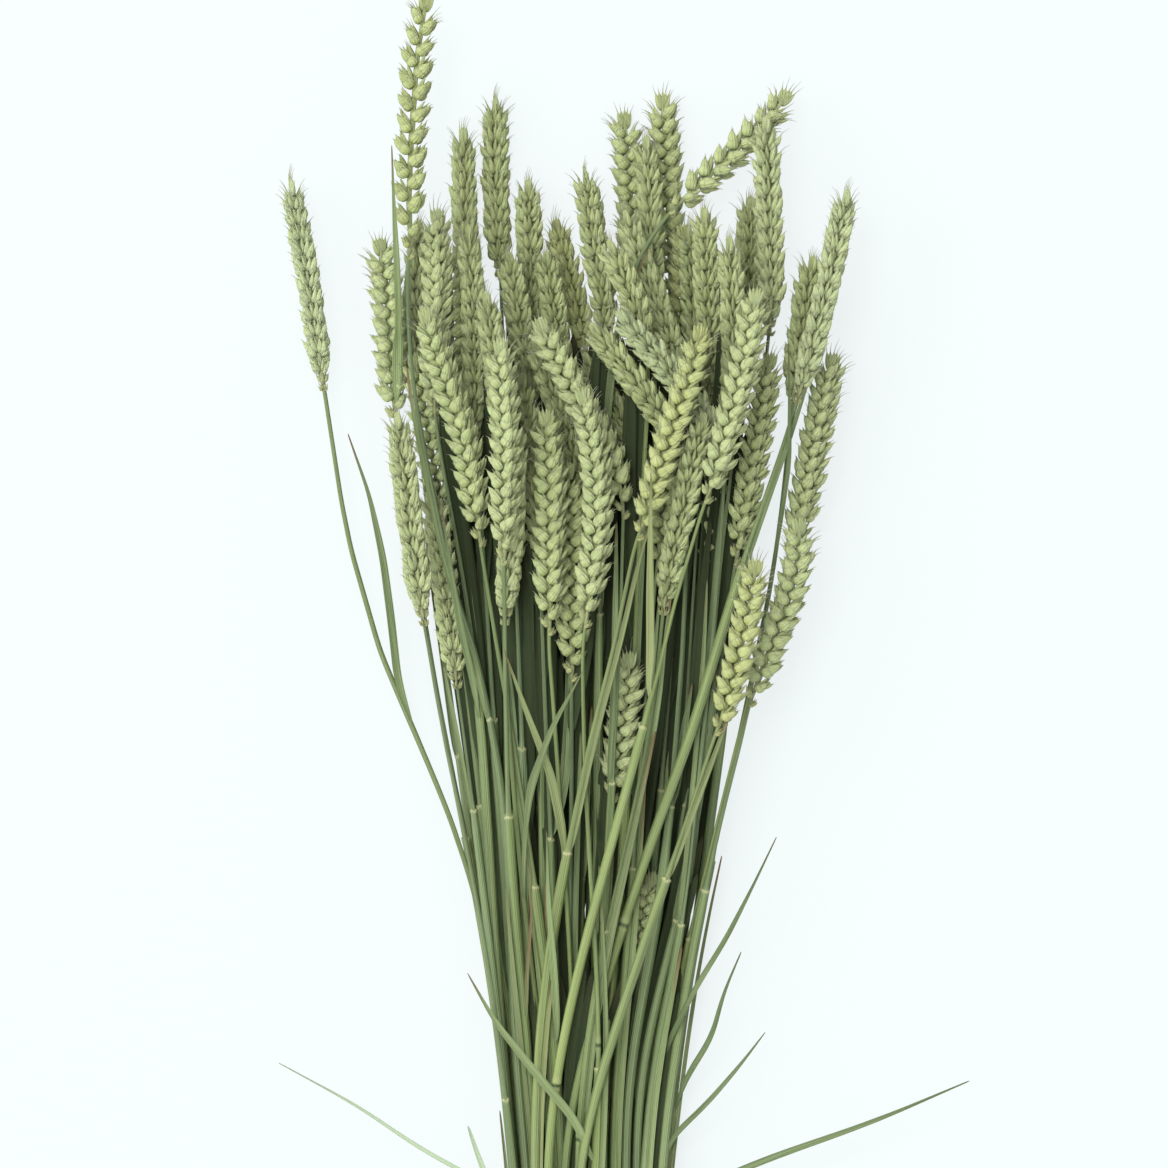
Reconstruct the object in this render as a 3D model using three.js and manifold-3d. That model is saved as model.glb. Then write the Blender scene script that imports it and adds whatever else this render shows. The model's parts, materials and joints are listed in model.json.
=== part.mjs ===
// Bundle of dried wheat: 58 cut stalks held by one tie, lying on a surface.
// Millimetres. +Y runs from the cut ends to the ears, +X across, +Z up to the viewer.
import * as THREE from "three";
import Module from "manifold-3d";

const wasm = await Module();
wasm.setup();

// ---- driving dimensions -------------------------------------------------
const UNIT = 0.4; // mm for one step of the layout tables below
const MIDDLE = 590; // table column that runs up the middle of the bundle
const BUTT = 1700; // table row of the cut ends
const TIE_Y = 160; // height of the tie over the cut ends
const TIE_HALF_WIDTH = 29; // half the width of the bundle inside the tie
const BAND_WIDTH = 11; // three turns of cord side by side
const BAND_THICK = 2.0;
const BAND_GAP = 0.35; // from the outermost stalks to the cord
const EAR_RANK = 4.9; // from the ear's axis to the tips, across the two ranks
const EAR_FAN = 4.8; // from the ear's axis to the tips, across one spikelet
const EAR_CORE = 0.62; // spikelet bases, as a share of the tips' reach
const SPIKELET_PITCH = 11.4; // along one rank
const LIP = 0.14; // how far a spikelet's tip overhangs the next base, in pitches
const EAR_CLEAR = 6.6; // clear radius kept round an ear
const NECK_RADIUS = 1.05; // stem just under the ear
const SHEATH_RADIUS = 2.1; // stem inside its leaf sheath
const BLADE_THICK = 0.7;
const GAP = 1.05; // kept between stalks, before the curves are simplified
const STEM_TOLERANCE = 0.36; // how far a straight run of stem leaves its curve
const STEP = 20; // spacing of the layout stations along Y
const STATIONS = 36;
const FINE = 5; // clearance is kept at every FINE mm
const PASSES = 900;

// ---- colours, dry and matt -----------------------------------------------
const TONES = {
  green: "#8f9b69",
  pale: "#a6ad7c",
  dark: "#76814f",
  yellow: "#a9aa66",
};
const CORD_COLOUR = "#b59a6c";

// ---- layout: one row for each stalk --------------------------------------
// turn of the ear (0: the two ranks show left and right, 90: one rank faces up),
// layer (0 lowest, 5 on top), tone, ear from tip to base, stem from the ear down.
const STALKS = [
  [8, 5, "pale", [[432, -12], [420, 40], [415, 100], [410, 180], [410, 253]],
    [[409, 330], [418, 420], [433, 500], [447, 580], [463, 640], [482, 720], [500, 790], [509, 860],
      [513, 960], [520, 1080], [527, 1168]]],
  [80, 1, "green", [[462, 116], [466, 230], [470, 330]], []],
  [95, 0, "dark", [[494, 82], [494, 180], [499, 270]], []],
  [85, 1, "green", [[527, 168], [531, 330]], []],
  [100, 2, "green", [[583, 162], [596, 250], [608, 335]], []],
  [80, 0, "yellow", [[552, 208], [566, 270], [586, 345]], []],
  [45, 3, "pale", [[437, 203], [436, 300], [432, 408]],
    [[445, 480], [458, 560], [473, 650], [483, 740], [490, 850], [497, 960], [505, 1080], [511, 1168]]],
  [30, 4, "green", [[418, 300], [440, 370], [465, 440], [479, 540]],
    [[492, 620], [506, 700], [521, 790], [534, 887], [544, 980], [552, 1070], [556, 1168]]],
  [90, 3, "green", [[467, 220], [474, 320], [475, 430]], []],
  [85, 3, "green", [[484, 285], [500, 380], [512, 480]], []],
  [30, 5, "pale", [[502, 333], [507, 440], [505, 557]],
    [[506, 640], [508, 740], [514, 860], [522, 980], [531, 1090], [537, 1168]]],
  [95, 4, "pale", [[512, 415], [512, 520], [504, 622]],
    [[507, 700], [514, 800], [524, 920], [538, 1060], [546, 1168]]],
  [80, 2, "green", [[506, 243], [522, 330], [535, 400]], []],
  [10, 4, "pale", [[534, 312], [560, 370], [585, 410], [610, 455], [624, 512]], []],
  [30, 5, "pale", [[580, 383], [597, 470], [597, 540], [584, 622]],
    [[582, 700], [584, 800], [590, 900], [593, 1000], [590, 1100], [588, 1168]]],
  [20, 4, "green", [[546, 405], [552, 510], [549, 628]],
    [[553, 700], [560, 790], [567, 900], [572, 1020], [575, 1168]]],
  [5, 3, "green", [[568, 455], [572, 560], [570, 678]], []],
  [0, 2, "pale", [[532, 470], [530, 570], [521, 683]], []],
  [-5, 2, "pale", [[378, 226], [390, 320], [396, 420]],
    [[405, 500], [417, 580], [431, 670], [446, 760], [465, 860], [486, 980], [500, 1080], [509, 1168]]],
  [90, 4, "pale", [[396, 406], [408, 500], [424, 622]],
    [[437, 700], [452, 780], [470, 860], [484, 940], [497, 1030], [509, 1168]]],
  [80, 3, "pale", [[430, 480], [448, 580], [459, 686]],
    [[468, 760], [479, 850], [490, 950], [502, 1060], [513, 1168]]],
  [0, 2, "green", [[412, 345], [430, 450], [452, 560]], []],
  [95, 2, "pale", [[286, 167], [306, 270], [322, 385]],
    [[336, 480], [346, 540], [360, 590], [372, 640], [390, 690], [411, 745], [425, 785], [442, 835],
      [461, 890], [480, 945], [490, 1000], [500, 1050], [506, 1112], [509, 1168]]],
  [0, 0, "green", [[625, 102], [632, 200], [638, 300]], []],
  [10, 0, "green", [[663, 78], [668, 180], [672, 290]], []],
  [5, 0, "yellow", [[683, 214], [668, 380]], []],
  [85, 1, "green", [[646, 125], [655, 230], [662, 330]], []],
  [95, 2, "pale", [[621, 205], [655, 290], [686, 375]], []],
  [90, 3, "green", [[603, 235], [626, 285], [650, 345]], []],
  [80, 4, "pale", [[607, 307], [645, 348], [684, 392], [722, 470]], []],
  [85, 3, "green", [[584, 320], [636, 380], [690, 450]], []],
  [90, 2, "dark", [[577, 346], [608, 395], [636, 450], [654, 510]], []],
  [0, 5, "yellow", [[705, 317], [688, 390], [664, 460], [639, 534]],
    [[630, 575], [619, 629], [603, 693], [587, 758], [569, 846], [556, 917], [544, 996], [535, 1070],
      [528, 1168]]],
  [85, 2, "green", [[703, 200], [707, 300], [708, 400]], []],
  [95, 1, "dark", [[688, 218], [695, 410]], []],
  [90, 3, "green", [[727, 233], [730, 330], [728, 430]], []],
  [30, 5, "pale", [[757, 286], [737, 390], [703, 497]],
    [[682, 570], [664, 640], [645, 722], [628, 779], [611, 846], [595, 900], [577, 967], [563, 1030],
      [552, 1085], [541, 1168]]],
  [85, 3, "pale", [[765, 108], [769, 220], [770, 330]], []],
  [80, 1, "green", [[752, 183], [748, 290], [742, 390]], []],
  [20, 2, "pale", [[801, 79], [771, 120], [738, 150], [704, 178], [677, 203]],
    [[650, 240], [628, 290], [612, 360], [604, 450], [600, 560], [598, 700], [598, 850]]],
  [90, 4, "pale", [[849, 181], [826, 290], [798, 396]],
    [[787, 430], [775, 470], [760, 510], [748, 545], [735, 590], [720, 640], [705, 690], [690, 740],
      [668, 800], [642, 862], [623, 925], [608, 980], [595, 1022], [577, 1100], [563, 1168]]],
  [85, 3, "green", [[815, 248], [804, 320], [793, 402]],
    [[786, 480], [776, 560], [760, 650], [742, 740], [722, 830], [702, 930], [686, 1040], [674, 1168]]],
  [40, 3, "pale", [[836, 347], [822, 400], [806, 480], [790, 548]],
    [[768, 620], [750, 690], [735, 760], [715, 850], [698, 950], [681, 1050], [668, 1168]]],
  [0, 4, "pale", [[799, 512], [798, 570], [778, 630], [750, 698]],
    [[738, 760], [722, 830], [704, 910], [686, 1000], [671, 1090], [661, 1168]]],
  [10, 5, "yellow", [[757, 553], [742, 640], [716, 731]],
    [[693, 800], [668, 873], [640, 950], [612, 1030], [590, 1100], [572, 1168]]],
  [0, 3, "pale", [[632, 647], [624, 720], [611, 799]],
    [[606, 870], [602, 950], [600, 1040], [600, 1168]]],
  [5, 2, "pale", [[655, 865], [645, 910], [631, 960]],
    [[624, 1030], [618, 1100], [613, 1168]]],
  [90, 2, "dark", [[738, 560], [722, 640], [704, 722]], []],
  [85, 4, "green", [[695, 404], [680, 500], [661, 609]],
    [[657, 670], [648, 749], [633, 817], [613, 908], [598, 990], [586, 1080], [578, 1168]]],
  [40, 3, "green", [[772, 348], [752, 460], [733, 562]], []],
  [5, 2, "dark", [[722, 420], [718, 500], [712, 590]], []],
  [0, 2, "dark", [[668, 440], [662, 500], [655, 560]], []],
  [85, 1, "dark", [[543, 240], [552, 320], [560, 400]], []],
  [90, 2, "dark", [[528, 330], [556, 400], [586, 520]], []],
  [80, 2, "green", [[520, 365], [530, 460], [538, 560]], []],
  [90, 2, "green", [[481, 358], [487, 440], [490, 520]], []],
  [5, 1, "green", [[449, 245], [451, 340], [452, 430]], []],
  [85, 1, "pale", [[419, 213], [414, 300], [413, 400]], []],
];

// Height of the leaf sheath's collar over the cut ends, for the stalks on which it shows, mm.
const COLLARS = { 1: 393, 8: 325, 11: 355, 21: 355, 23: 300, 33: 340, 37: 390, 41: 454, 44: 324, 45: 331 };

// ---- layout: the leaf blades ----------------------------------------------
// stalk (row number above, from 1), widest half-width in mm, layer, points from the
// collar on the stalk to the blade's tip. The last ones lie inside the bundle.
const BLADES = [
  [23, 1.5, 5.5, [[411, 745], [403, 690], [396, 640], [388, 580], [378, 520], [365, 475], [349, 432]]],
  [20, 1.6, 5.5, [[508, 1238], [455, 1200], [407, 1168], [385, 1148], [335, 1102], [271, 1062]]],
  [15, 1.6, 5.5,
    [[586, 1170], [574, 1140], [558, 1112], [535, 1076], [508, 1045], [484, 1010], [467, 972]]],
  [12, 2.1, 6.2, [[523, 905], [522, 850], [528, 785], [545, 735], [566, 700], [584, 668]]],
  [16, 1.4, 5.5, [[567, 900], [598, 850], [578, 795], [540, 725], [505, 650]]],
  [43, 1.7, 5.5, [[678, 1095], [694, 1050], [720, 980], [750, 905], [779, 832]]],
  [42, 1.5, 5.5, [[677, 1130], [692, 1070], [718, 1005], [743, 947]]],
  [44, 1.4, 5.5, [[660, 1180], [684, 1135], [718, 1098], [748, 1060], [769, 1028]]],
  [44, 1.9, 5.5, [[652, 1250], [700, 1205], [780, 1168], [880, 1125], [965, 1095], [984, 1080]]],
  [19, 1.3, 5.5, [[396, 425], [404, 380], [402, 300], [397, 220], [394, 150]]],
  [11, 1.1, 5.5, [[527, 1090], [521, 1043], [523, 985], [529, 923], [534, 888], [532, 862]]],
  [8, 1.3, 5.5, [[553, 1085], [560, 1010], [550, 923], [547, 830]]],
  [37, 1.9, 5.8, [[642, 724], [645, 646], [648, 543], [650, 470]]],
  [7, 1.3, 5.5, [[483, 740], [462, 700], [455, 620], [447, 560], [443, 510]]],
  [42, 1.3, 5.5, [[772, 580], [782, 520], [792, 440], [788, 392], [787, 345]]],
  [4, 2.2, 1.4, [[554, 905], [546, 840], [536, 760], [528, 680], [524, 610]]],
  [55, 2.0, 1.6, [[591, 900], [591, 830], [585, 750], [574, 670], [570, 600]]],
  [6, 2.2, 0.6, [[588, 880], [590, 800], [596, 720], [604, 640], [610, 560], [612, 500]]],
  [5, 2.2, 1.5, [[596, 925], [606, 835], [616, 750], [622, 670], [624, 600]]],
  [32, 2.2, 1.6, [[626, 880], [634, 800], [642, 720], [646, 640], [648, 580]]],
  [53, 2.2, 1.4, [[640, 890], [654, 820], [668, 740], [680, 660], [690, 590]]],
  [56, 2.2, 1.5, [[560, 890], [552, 820], [547, 740], [545, 660]]],
  [28, 2.2, 1.4, [[650, 880], [668, 800], [684, 720], [696, 640], [702, 560], [704, 510]]],
  [57, 2.2, 1.6, [[530, 860], [516, 780], [504, 700], [496, 620], [490, 560]]],
  [9, 2.2, 2.4, [[520, 880], [504, 800], [488, 720], [474, 640], [464, 560]]],
  [31, 2.2, 2.4, [[645, 900], [663, 820], [680, 740], [692, 680]]],
  [10, 2.2, 2.4, [[535, 900], [525, 820], [515, 740], [508, 660]]],
];

// ---- small helpers ---------------------------------------------------------
function randomSource(seed) {
  let state = seed >>> 0;
  return () => {
    state = (Math.imul(state, 1664525) + 1013904223) >>> 0;
    return state / 4294967296;
  };
}

const clamp = (v, lo, hi) => Math.min(hi, Math.max(lo, v));
const lerp = (a, b, t) => a + (b - a) * t;

function smoothstep(a, b, v) {
  const t = clamp((v - a) / (b - a), 0, 1);
  return t * t * (3 - 2 * t);
}

// Table point to millimetres.
const place = ([column, row]) => [(column - MIDDLE) * UNIT, (BUTT - row) * UNIT];

// x as a smooth function of y through points sorted by y (cubic, finite slopes).
function curveThrough(points) {
  const n = points.length;
  const slopes = points.map((p, i) => {
    const a = points[Math.max(0, i - 1)];
    const b = points[Math.min(n - 1, i + 1)];
    return (b[0] - a[0]) / (b[1] - a[1]);
  });
  return (y) => {
    if (y <= points[0][1]) return points[0][0] + slopes[0] * (y - points[0][1]);
    if (y >= points[n - 1][1]) return points[n - 1][0] + slopes[n - 1] * (y - points[n - 1][1]);
    let i = 0;
    while (y > points[i + 1][1]) i += 1;
    const h = points[i + 1][1] - points[i][1];
    const t = (y - points[i][1]) / h;
    const t2 = t * t;
    const t3 = t2 * t;
    return points[i][0] * (2 * t3 - 3 * t2 + 1) + slopes[i] * h * (t3 - 2 * t2 + t)
      + points[i + 1][0] * (3 * t2 - 2 * t3) + slopes[i + 1] * h * (t3 - t2);
  };
}

// Half the bundle's width at height y above the tie.
function halfWidth(y) {
  return lerp(TIE_HALF_WIDTH, 78, smoothstep(TIE_Y - 60, 520, y));
}

// ---- strands: the centre lines of stalks and blades -------------------------
// A strand stores x and z at the common stations y = k * STEP.
function makeStrand(xOf, low, high, radius, extra) {
  const first = Math.floor(low / STEP);
  const last = Math.min(STATIONS - 1, Math.ceil(high / STEP));
  const goal = [];
  for (let k = 0; k < STATIONS; k += 1) {
    goal.push(xOf(clamp(k * STEP, low - STEP, high + STEP)));
  }
  const x = goal.slice();
  const z = new Array(STATIONS).fill(0);
  return { first, last, low, high, radius, goal, x, z, ...extra };
}

// Radius of a stalk's stem, by distance below the ear.
function stemRadius(stalk, y) {
  const below = stalk.earLow - y;
  if (y < stalk.collar) return SHEATH_RADIUS * stalk.girth;
  return lerp(NECK_RADIUS, 1.45, smoothstep(0, 110, below)) * stalk.girth;
}

// Share of the full ear width at t = 0 (base) ... 1 (tip).
function earShape(t) {
  return 0.62 + 0.38 * smoothstep(0, 0.2, t) - 0.42 * smoothstep(0.55, 1, t);
}

function stalkRadius(stalk, y) {
  if (y < stalk.earLow - 2) return stemRadius(stalk, y);
  const t = (y - stalk.earLow) / (stalk.high - stalk.earLow);
  return EAR_CLEAR * earShape(clamp(t, 0, 1)) * stalk.plump;
}

// Place of a hidden stem across the tie, -1 ... 1, by the order of the ears' bases.
function evenShare(index) {
  const baseOf = (row) => row[3][row[3].length - 1][0];
  const hidden = STALKS.filter((row) => row[4].length === 0);
  const before = hidden.filter((row) => baseOf(row) < baseOf(STALKS[index])).length;
  const share = before / (hidden.length - 1) - 0.5;
  return 0.86 * Math.sin(share * Math.PI * 0.8) / Math.sin(Math.PI * 0.4);
}

function layStalk(row, index, random) {
  const [turn, layer, tone, ear, stem] = row;
  const points = ear.concat(stem).map(place).reverse();
  const earLow = place(ear[ear.length - 1])[1];
  const high = place(ear[0])[1];
  const low = 2 + 20 * random();
  const [xLow, yLow] = points[0];
  const share = lerp(clamp(xLow / halfWidth(yLow), -1, 1), evenShare(index), 0.7);
  const xTie = stem.length ? xLow - xLow * 0.0034 * (yLow - TIE_Y) : share * TIE_HALF_WIDTH;
  const tie = [clamp(xTie, -TIE_HALF_WIDTH, TIE_HALF_WIDTH), TIE_Y];
  const lean = tie[0] / TIE_HALF_WIDTH;
  const above = [tie[0] + 9 * lean, TIE_Y + 62];
  const below = [tie[0] + 10 * lean + 5 * (random() - 0.5), 0];
  const lead = stem.length ? [] : [above];
  const guide = [below, tie].concat(lead, points);
  const stalk = makeStrand(curveThrough(guide), low, high, null, {
    index, layer: layer + index * 0.005, tone, turn, earLow,
    girth: 0.92 + 0.16 * random(),
    plump: 0.95 + 0.08 * random(),
    collar: earLow - 105 - 90 * random(),
  });
  stalk.collar = COLLARS[index + 1] ?? stalk.collar;
  stalk.radius = (y) => stalkRadius(stalk, y);
  stalk.flat = 1;
  return stalk;
}

function layBlade(row, stalks) {
  const [owner, half, layer, table] = row;
  const stalk = stalks[owner - 1];
  const points = table.map(place);
  const rising = points.slice().sort((a, b) => a[1] - b[1]);
  for (let i = 1; i < rising.length; i += 1) {
    if (rising[i][1] - rising[i - 1][1] < 2) rising[i][1] = rising[i - 1][1] + 2;
  }
  const low = rising[0][1];
  const high = rising[rising.length - 1][1];
  const rootLow = points[0][1] <= low + 3;
  const blade = makeStrand(curveThrough(rising), low, high, () => half, {
    owner: owner - 1, layer: layer + owner * 0.005, half, rootLow,
  });
  blade.flat = 0.38;
  blade.rootY = rootLow ? low : high;
  return blade;
}

// Half-width of the lower part of the bundle, which no stalk leaves.
const wallAt = curveThrough([
  [TIE_HALF_WIDTH + 4, 0], [TIE_HALF_WIDTH, TIE_Y], [33, 213], [35.5, 240], [40.5, 280],
  [47, 320], [56, 360],
]);

// ---- settling: strands are pushed clear of each other ------------------------
function valueAt(list, y) {
  const k = clamp(Math.floor(y / STEP), 0, STATIONS - 2);
  return lerp(list[k], list[k + 1], y / STEP - k);
}

function startHeights(strand) {
  for (let k = 0; k < STATIONS; k += 1) {
    const y = k * STEP;
    const spread = lerp(5.2, 12.5, smoothstep(TIE_Y + 20, 430, y));
    strand.z[k] = spread * (strand.layer + 0.5) + 2;
  }
}

function floorAt(strand, y) {
  const lift = Math.abs(y - TIE_Y) < STEP ? BAND_THICK + BAND_GAP : 0;
  return strand.radius(y) * strand.flat * 0.86 + lift + 0.1;
}

// Bending stiffness, the pull towards the read layout, weight, and the floor.
function settleStrand(s, weight, bend) {
  for (let k = s.first; k <= s.last; k += 1) {
    const y = k * STEP;
    const away = s.x[k] - s.goal[k];
    const nearTie = Math.abs(y - TIE_Y) <= STEP;
    if (k > s.first && k < s.last) {
      const before = s.x[k - 1] - s.goal[k - 1];
      const after = s.x[k + 1] - s.goal[k + 1];
      s.x[k] += bend * ((before + after) / 2 - away);
      s.z[k] += bend * ((s.z[k - 1] + s.z[k + 1]) / 2 - s.z[k]);
    }
    s.x[k] -= (nearTie ? 0.012 : 0.09) * bend * away;
    s.z[k] -= weight;
    if (nearTie && weight > 0) {
      s.x[k] -= 0.008 * s.x[k];
      s.z[k] -= 0.03 * (s.z[k] - 17);
    }
  }
  if (s.last - s.first > 2) {
    s.z[s.last] += 0.25 * (2 * s.z[s.last - 1] - s.z[s.last - 2] - s.z[s.last]);
    s.z[s.first] += 0.25 * (2 * s.z[s.first + 1] - s.z[s.first + 2] - s.z[s.first]);
  }
  for (let k = s.first; k <= s.last; k += 1) {
    s.z[k] = Math.max(s.z[k], floorAt(s, clamp(k * STEP, s.low, s.high)));
    const wall = wallAt(k * STEP) - SHEATH_RADIUS;
    if (s.owner === undefined && k * STEP < 350) s.x[k] = clamp(s.x[k], -wall, wall);
  }
}

function tieBladeToStalk(blade, stalks) {
  const stalk = stalks[blade.owner];
  const k = Math.floor(blade.rootY / STEP);
  for (const i of [k, k + 1]) {
    blade.x[i] = stalk.x[i];
    blade.z[i] = stalk.z[i] + 0.6;
  }
}

function shift(s, y, dx, dz) {
  const k = clamp(Math.floor(y / STEP), 0, STATIONS - 2);
  const f = y / STEP - k;
  const norm = (1 - f) * (1 - f) + f * f;
  s.x[k] += dx * (1 - f) / norm;
  s.x[k + 1] += dx * f / norm;
  s.z[k] += dz * (1 - f) / norm;
  s.z[k + 1] += dz * f / norm;
}

function sectionsAt(strands, y) {
  const found = [];
  for (const s of strands) {
    if (y < s.low - 1 || y > s.high + 1) continue;
    const k = clamp(Math.floor(y / STEP), 0, STATIONS - 2);
    const slopeX = (s.x[k + 1] - s.x[k]) / STEP;
    const slopeZ = (s.z[k + 1] - s.z[k]) / STEP;
    const r = s.radius(clamp(y, s.low, s.high));
    found.push({
      s,
      x: valueAt(s.x, y),
      z: valueAt(s.z, y),
      rx: r * Math.hypot(1, slopeX) + GAP / 2,
      rz: r * s.flat * Math.hypot(1, slopeZ) + GAP / 2,
    });
  }
  return found;
}

function sameStalk(a, b) {
  if (a.owner === undefined && b.owner === undefined) return false;
  if (a.owner !== undefined && b.owner !== undefined) return a.owner === b.owner;
  return a.owner === undefined ? b.owner === a.index : a.owner === b.index;
}

function pushApart(a, b, y) {
  const sx = a.rx + b.rx;
  const sz = a.rz + b.rz;
  const dx = (b.x - a.x) / sx;
  const dz = (b.z - a.z) / sz;
  if (Math.abs(dx) >= 1 || Math.abs(dz) >= 1.6) return 0;
  const order = b.s.layer - a.s.layer;
  const wrong = order * dz < 0;
  if (wrong && Math.abs(dx) < 0.8) {
    const move = 0.35 * Math.sign(order);
    shift(a.s, y, 0, -move);
    shift(b.s, y, 0, move);
    a.z -= move;
    b.z += move;
    return 1;
  }
  const q = Math.hypot(dx, dz);
  if (q >= 1) return 0;
  const nx = q > 1e-6 ? dx / q : 0;
  const nz = q > 1e-6 ? dz / q : 1;
  const free = lerp(0.71, 0.3, smoothstep(200, 360, y));
  const move = 0.5 * (1 - q);
  const mx = nx * sx * move * free;
  const mz = (nz + 0.15 * Math.sign(nz)) * sz * move;
  shift(a.s, y, -mx, -mz);
  shift(b.s, y, mx, mz);
  a.x -= mx;
  b.x += mx;
  a.z -= mz;
  b.z += mz;
  return 1 - q;
}

function settle(strands, stalks) {
  for (const s of strands) startHeights(s);
  for (let pass = 0; pass < PASSES; pass += 1) {
    const weight = pass < PASSES * 0.6 ? 0.02 : 0;
    const bend = 0.34 * (1 - smoothstep(0.5, 0.85, pass / PASSES));
    for (const s of strands) settleStrand(s, weight, bend);
    for (const s of strands) {
      if (s.owner !== undefined) tieBladeToStalk(s, stalks);
    }
    for (let y = 0; y <= (STATIONS - 1) * STEP; y += FINE) {
      const found = sectionsAt(strands, y);
      for (let i = 0; i < found.length; i += 1) {
        for (let j = i + 1; j < found.length; j += 1) {
          if (!sameStalk(found[i].s, found[j].s)) pushApart(found[i], found[j], y);
        }
      }
    }
  }
}

// ---- solids ------------------------------------------------------------------
function toSolid(points, triangles) {
  const mesh = new wasm.Mesh({
    numProp: 3,
    vertProperties: new Float32Array(points.flat()),
    triVerts: new Uint32Array(triangles.flat()),
  });
  return new wasm.Manifold(mesh);
}

// Outward orientation for a closed list of triangles.
function outward(points, triangles) {
  let volume = 0;
  for (const [i, j, k] of triangles) {
    const a = new THREE.Vector3(...points[i]);
    const b = new THREE.Vector3(...points[j]);
    const c = new THREE.Vector3(...points[k]);
    volume += a.dot(b.cross(c));
  }
  return volume >= 0 ? triangles : triangles.map(([i, j, k]) => [i, k, j]);
}

// Point and cross directions of a strand at height y.
function frameAt(s, y, turn) {
  const p = new THREE.Vector3(valueAt(s.x, y), y, valueAt(s.z, y));
  const a = clamp(y / STEP - 0.5, 0, STATIONS - 1.001);
  const i = Math.floor(a);
  const slope = (list, n) => (list[Math.min(n + 1, STATIONS - 1)] - list[n]) / STEP;
  const sx = lerp(slope(s.x, i), slope(s.x, i + 1), a - i);
  const sz = lerp(slope(s.z, i), slope(s.z, i + 1), a - i);
  const t = new THREE.Vector3(sx, 1, sz).normalize();
  const side = new THREE.Vector3().crossVectors(t, new THREE.Vector3(0, 0, 1)).normalize();
  const up = new THREE.Vector3().crossVectors(side, t).normalize();
  const c = Math.cos(turn * Math.PI / 180);
  const d = Math.sin(turn * Math.PI / 180);
  const rank = side.clone().multiplyScalar(c).addScaledVector(up, d);
  const fan = up.clone().multiplyScalar(c).addScaledVector(side, -d);
  return { p, t, rank, fan };
}

function offset(frame, u, v) {
  const q = frame.p.clone().addScaledVector(frame.rank, u).addScaledVector(frame.fan, v);
  return [q.x, q.y, q.z];
}

// Heights of the stem's rings: only where the settled curve needs one.
function stemHeights(s, low, high) {
  const all = [low];
  for (let k = 0; k < STATIONS; k += 1) {
    if (k * STEP > low + 4 && k * STEP < high - 4) all.push(k * STEP);
  }
  all.push(high);
  const keep = new Set([0, all.length - 1]);
  const split = (a, b) => {
    let worst = 0;
    let at = -1;
    for (let i = a + 1; i < b; i += 1) {
      const t = (all[i] - all[a]) / (all[b] - all[a]);
      const ex = valueAt(s.x, all[i]) - lerp(valueAt(s.x, all[a]), valueAt(s.x, all[b]), t);
      const ez = valueAt(s.z, all[i]) - lerp(valueAt(s.z, all[a]), valueAt(s.z, all[b]), t);
      if (Math.hypot(ex, ez) > worst) {
        worst = Math.hypot(ex, ez);
        at = i;
      }
    }
    if (worst < STEM_TOLERANCE) return;
    keep.add(at);
    split(a, at);
    split(at, b);
  };
  split(0, all.length - 1);
  return all.filter((_, i) => keep.has(i));
}

// Four-sided stem with a step where the leaf sheath ends.
function stemRings(s) {
  const heights = stemHeights(s, s.low, s.earLow);
  const rings = [];
  for (const y of heights) {
    const r = stemRadius(s, y) * 1.12;
    rings.push({ y, r });
  }
  const collar = s.collar;
  if (collar > s.low + 20 && s.layer >= 3) {
    rings.push({ y: collar - 0.8, r: SHEATH_RADIUS * s.girth * 1.12 });
    rings.push({ y: collar + 0.8, r: stemRadius(s, collar + 1) * 1.12 });
  }
  rings.sort((a, b) => a.y - b.y);
  return rings.filter((ring, i) => i === 0 || ring.y - rings[i - 1].y > 1.2);
}

// One stalk: stem, then the ear with two ranks of overlapping spikelets.
function stalkSolid(s) {
  const points = [];
  const triangles = [];
  const rings = stemRings(s);
  for (const ring of rings) {
    const f = frameAt(s, ring.y, s.turn);
    points.push(offset(f, ring.r, 0), offset(f, 0, ring.r));
    points.push(offset(f, -ring.r, 0), offset(f, 0, -ring.r));
  }
  triangles.push([0, 2, 1], [0, 3, 2]);
  for (let i = 0; i < rings.length - 1; i += 1) {
    for (let c = 0; c < 4; c += 1) {
      const a = i * 4 + c;
      const b = i * 4 + (c + 1) % 4;
      triangles.push([a, b, b + 4], [a, b + 4, a + 4]);
    }
  }
  const q = (rings.length - 1) * 4;
  const e = points.length;
  addEar(s, points, triangles);
  triangles.push([q, e, e + 5], [q, q + 1, e], [q + 1, e + 1, e], [q + 1, e + 2, e + 1]);
  triangles.push([q + 1, q + 2, e + 2], [q + 2, e + 3, e + 2], [q + 2, q + 3, e + 3]);
  triangles.push([q + 3, e + 4, e + 3], [q + 3, e + 5, e + 4], [q + 3, q, e + 5]);
  return toSolid(points, outward(points, triangles));
}

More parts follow.
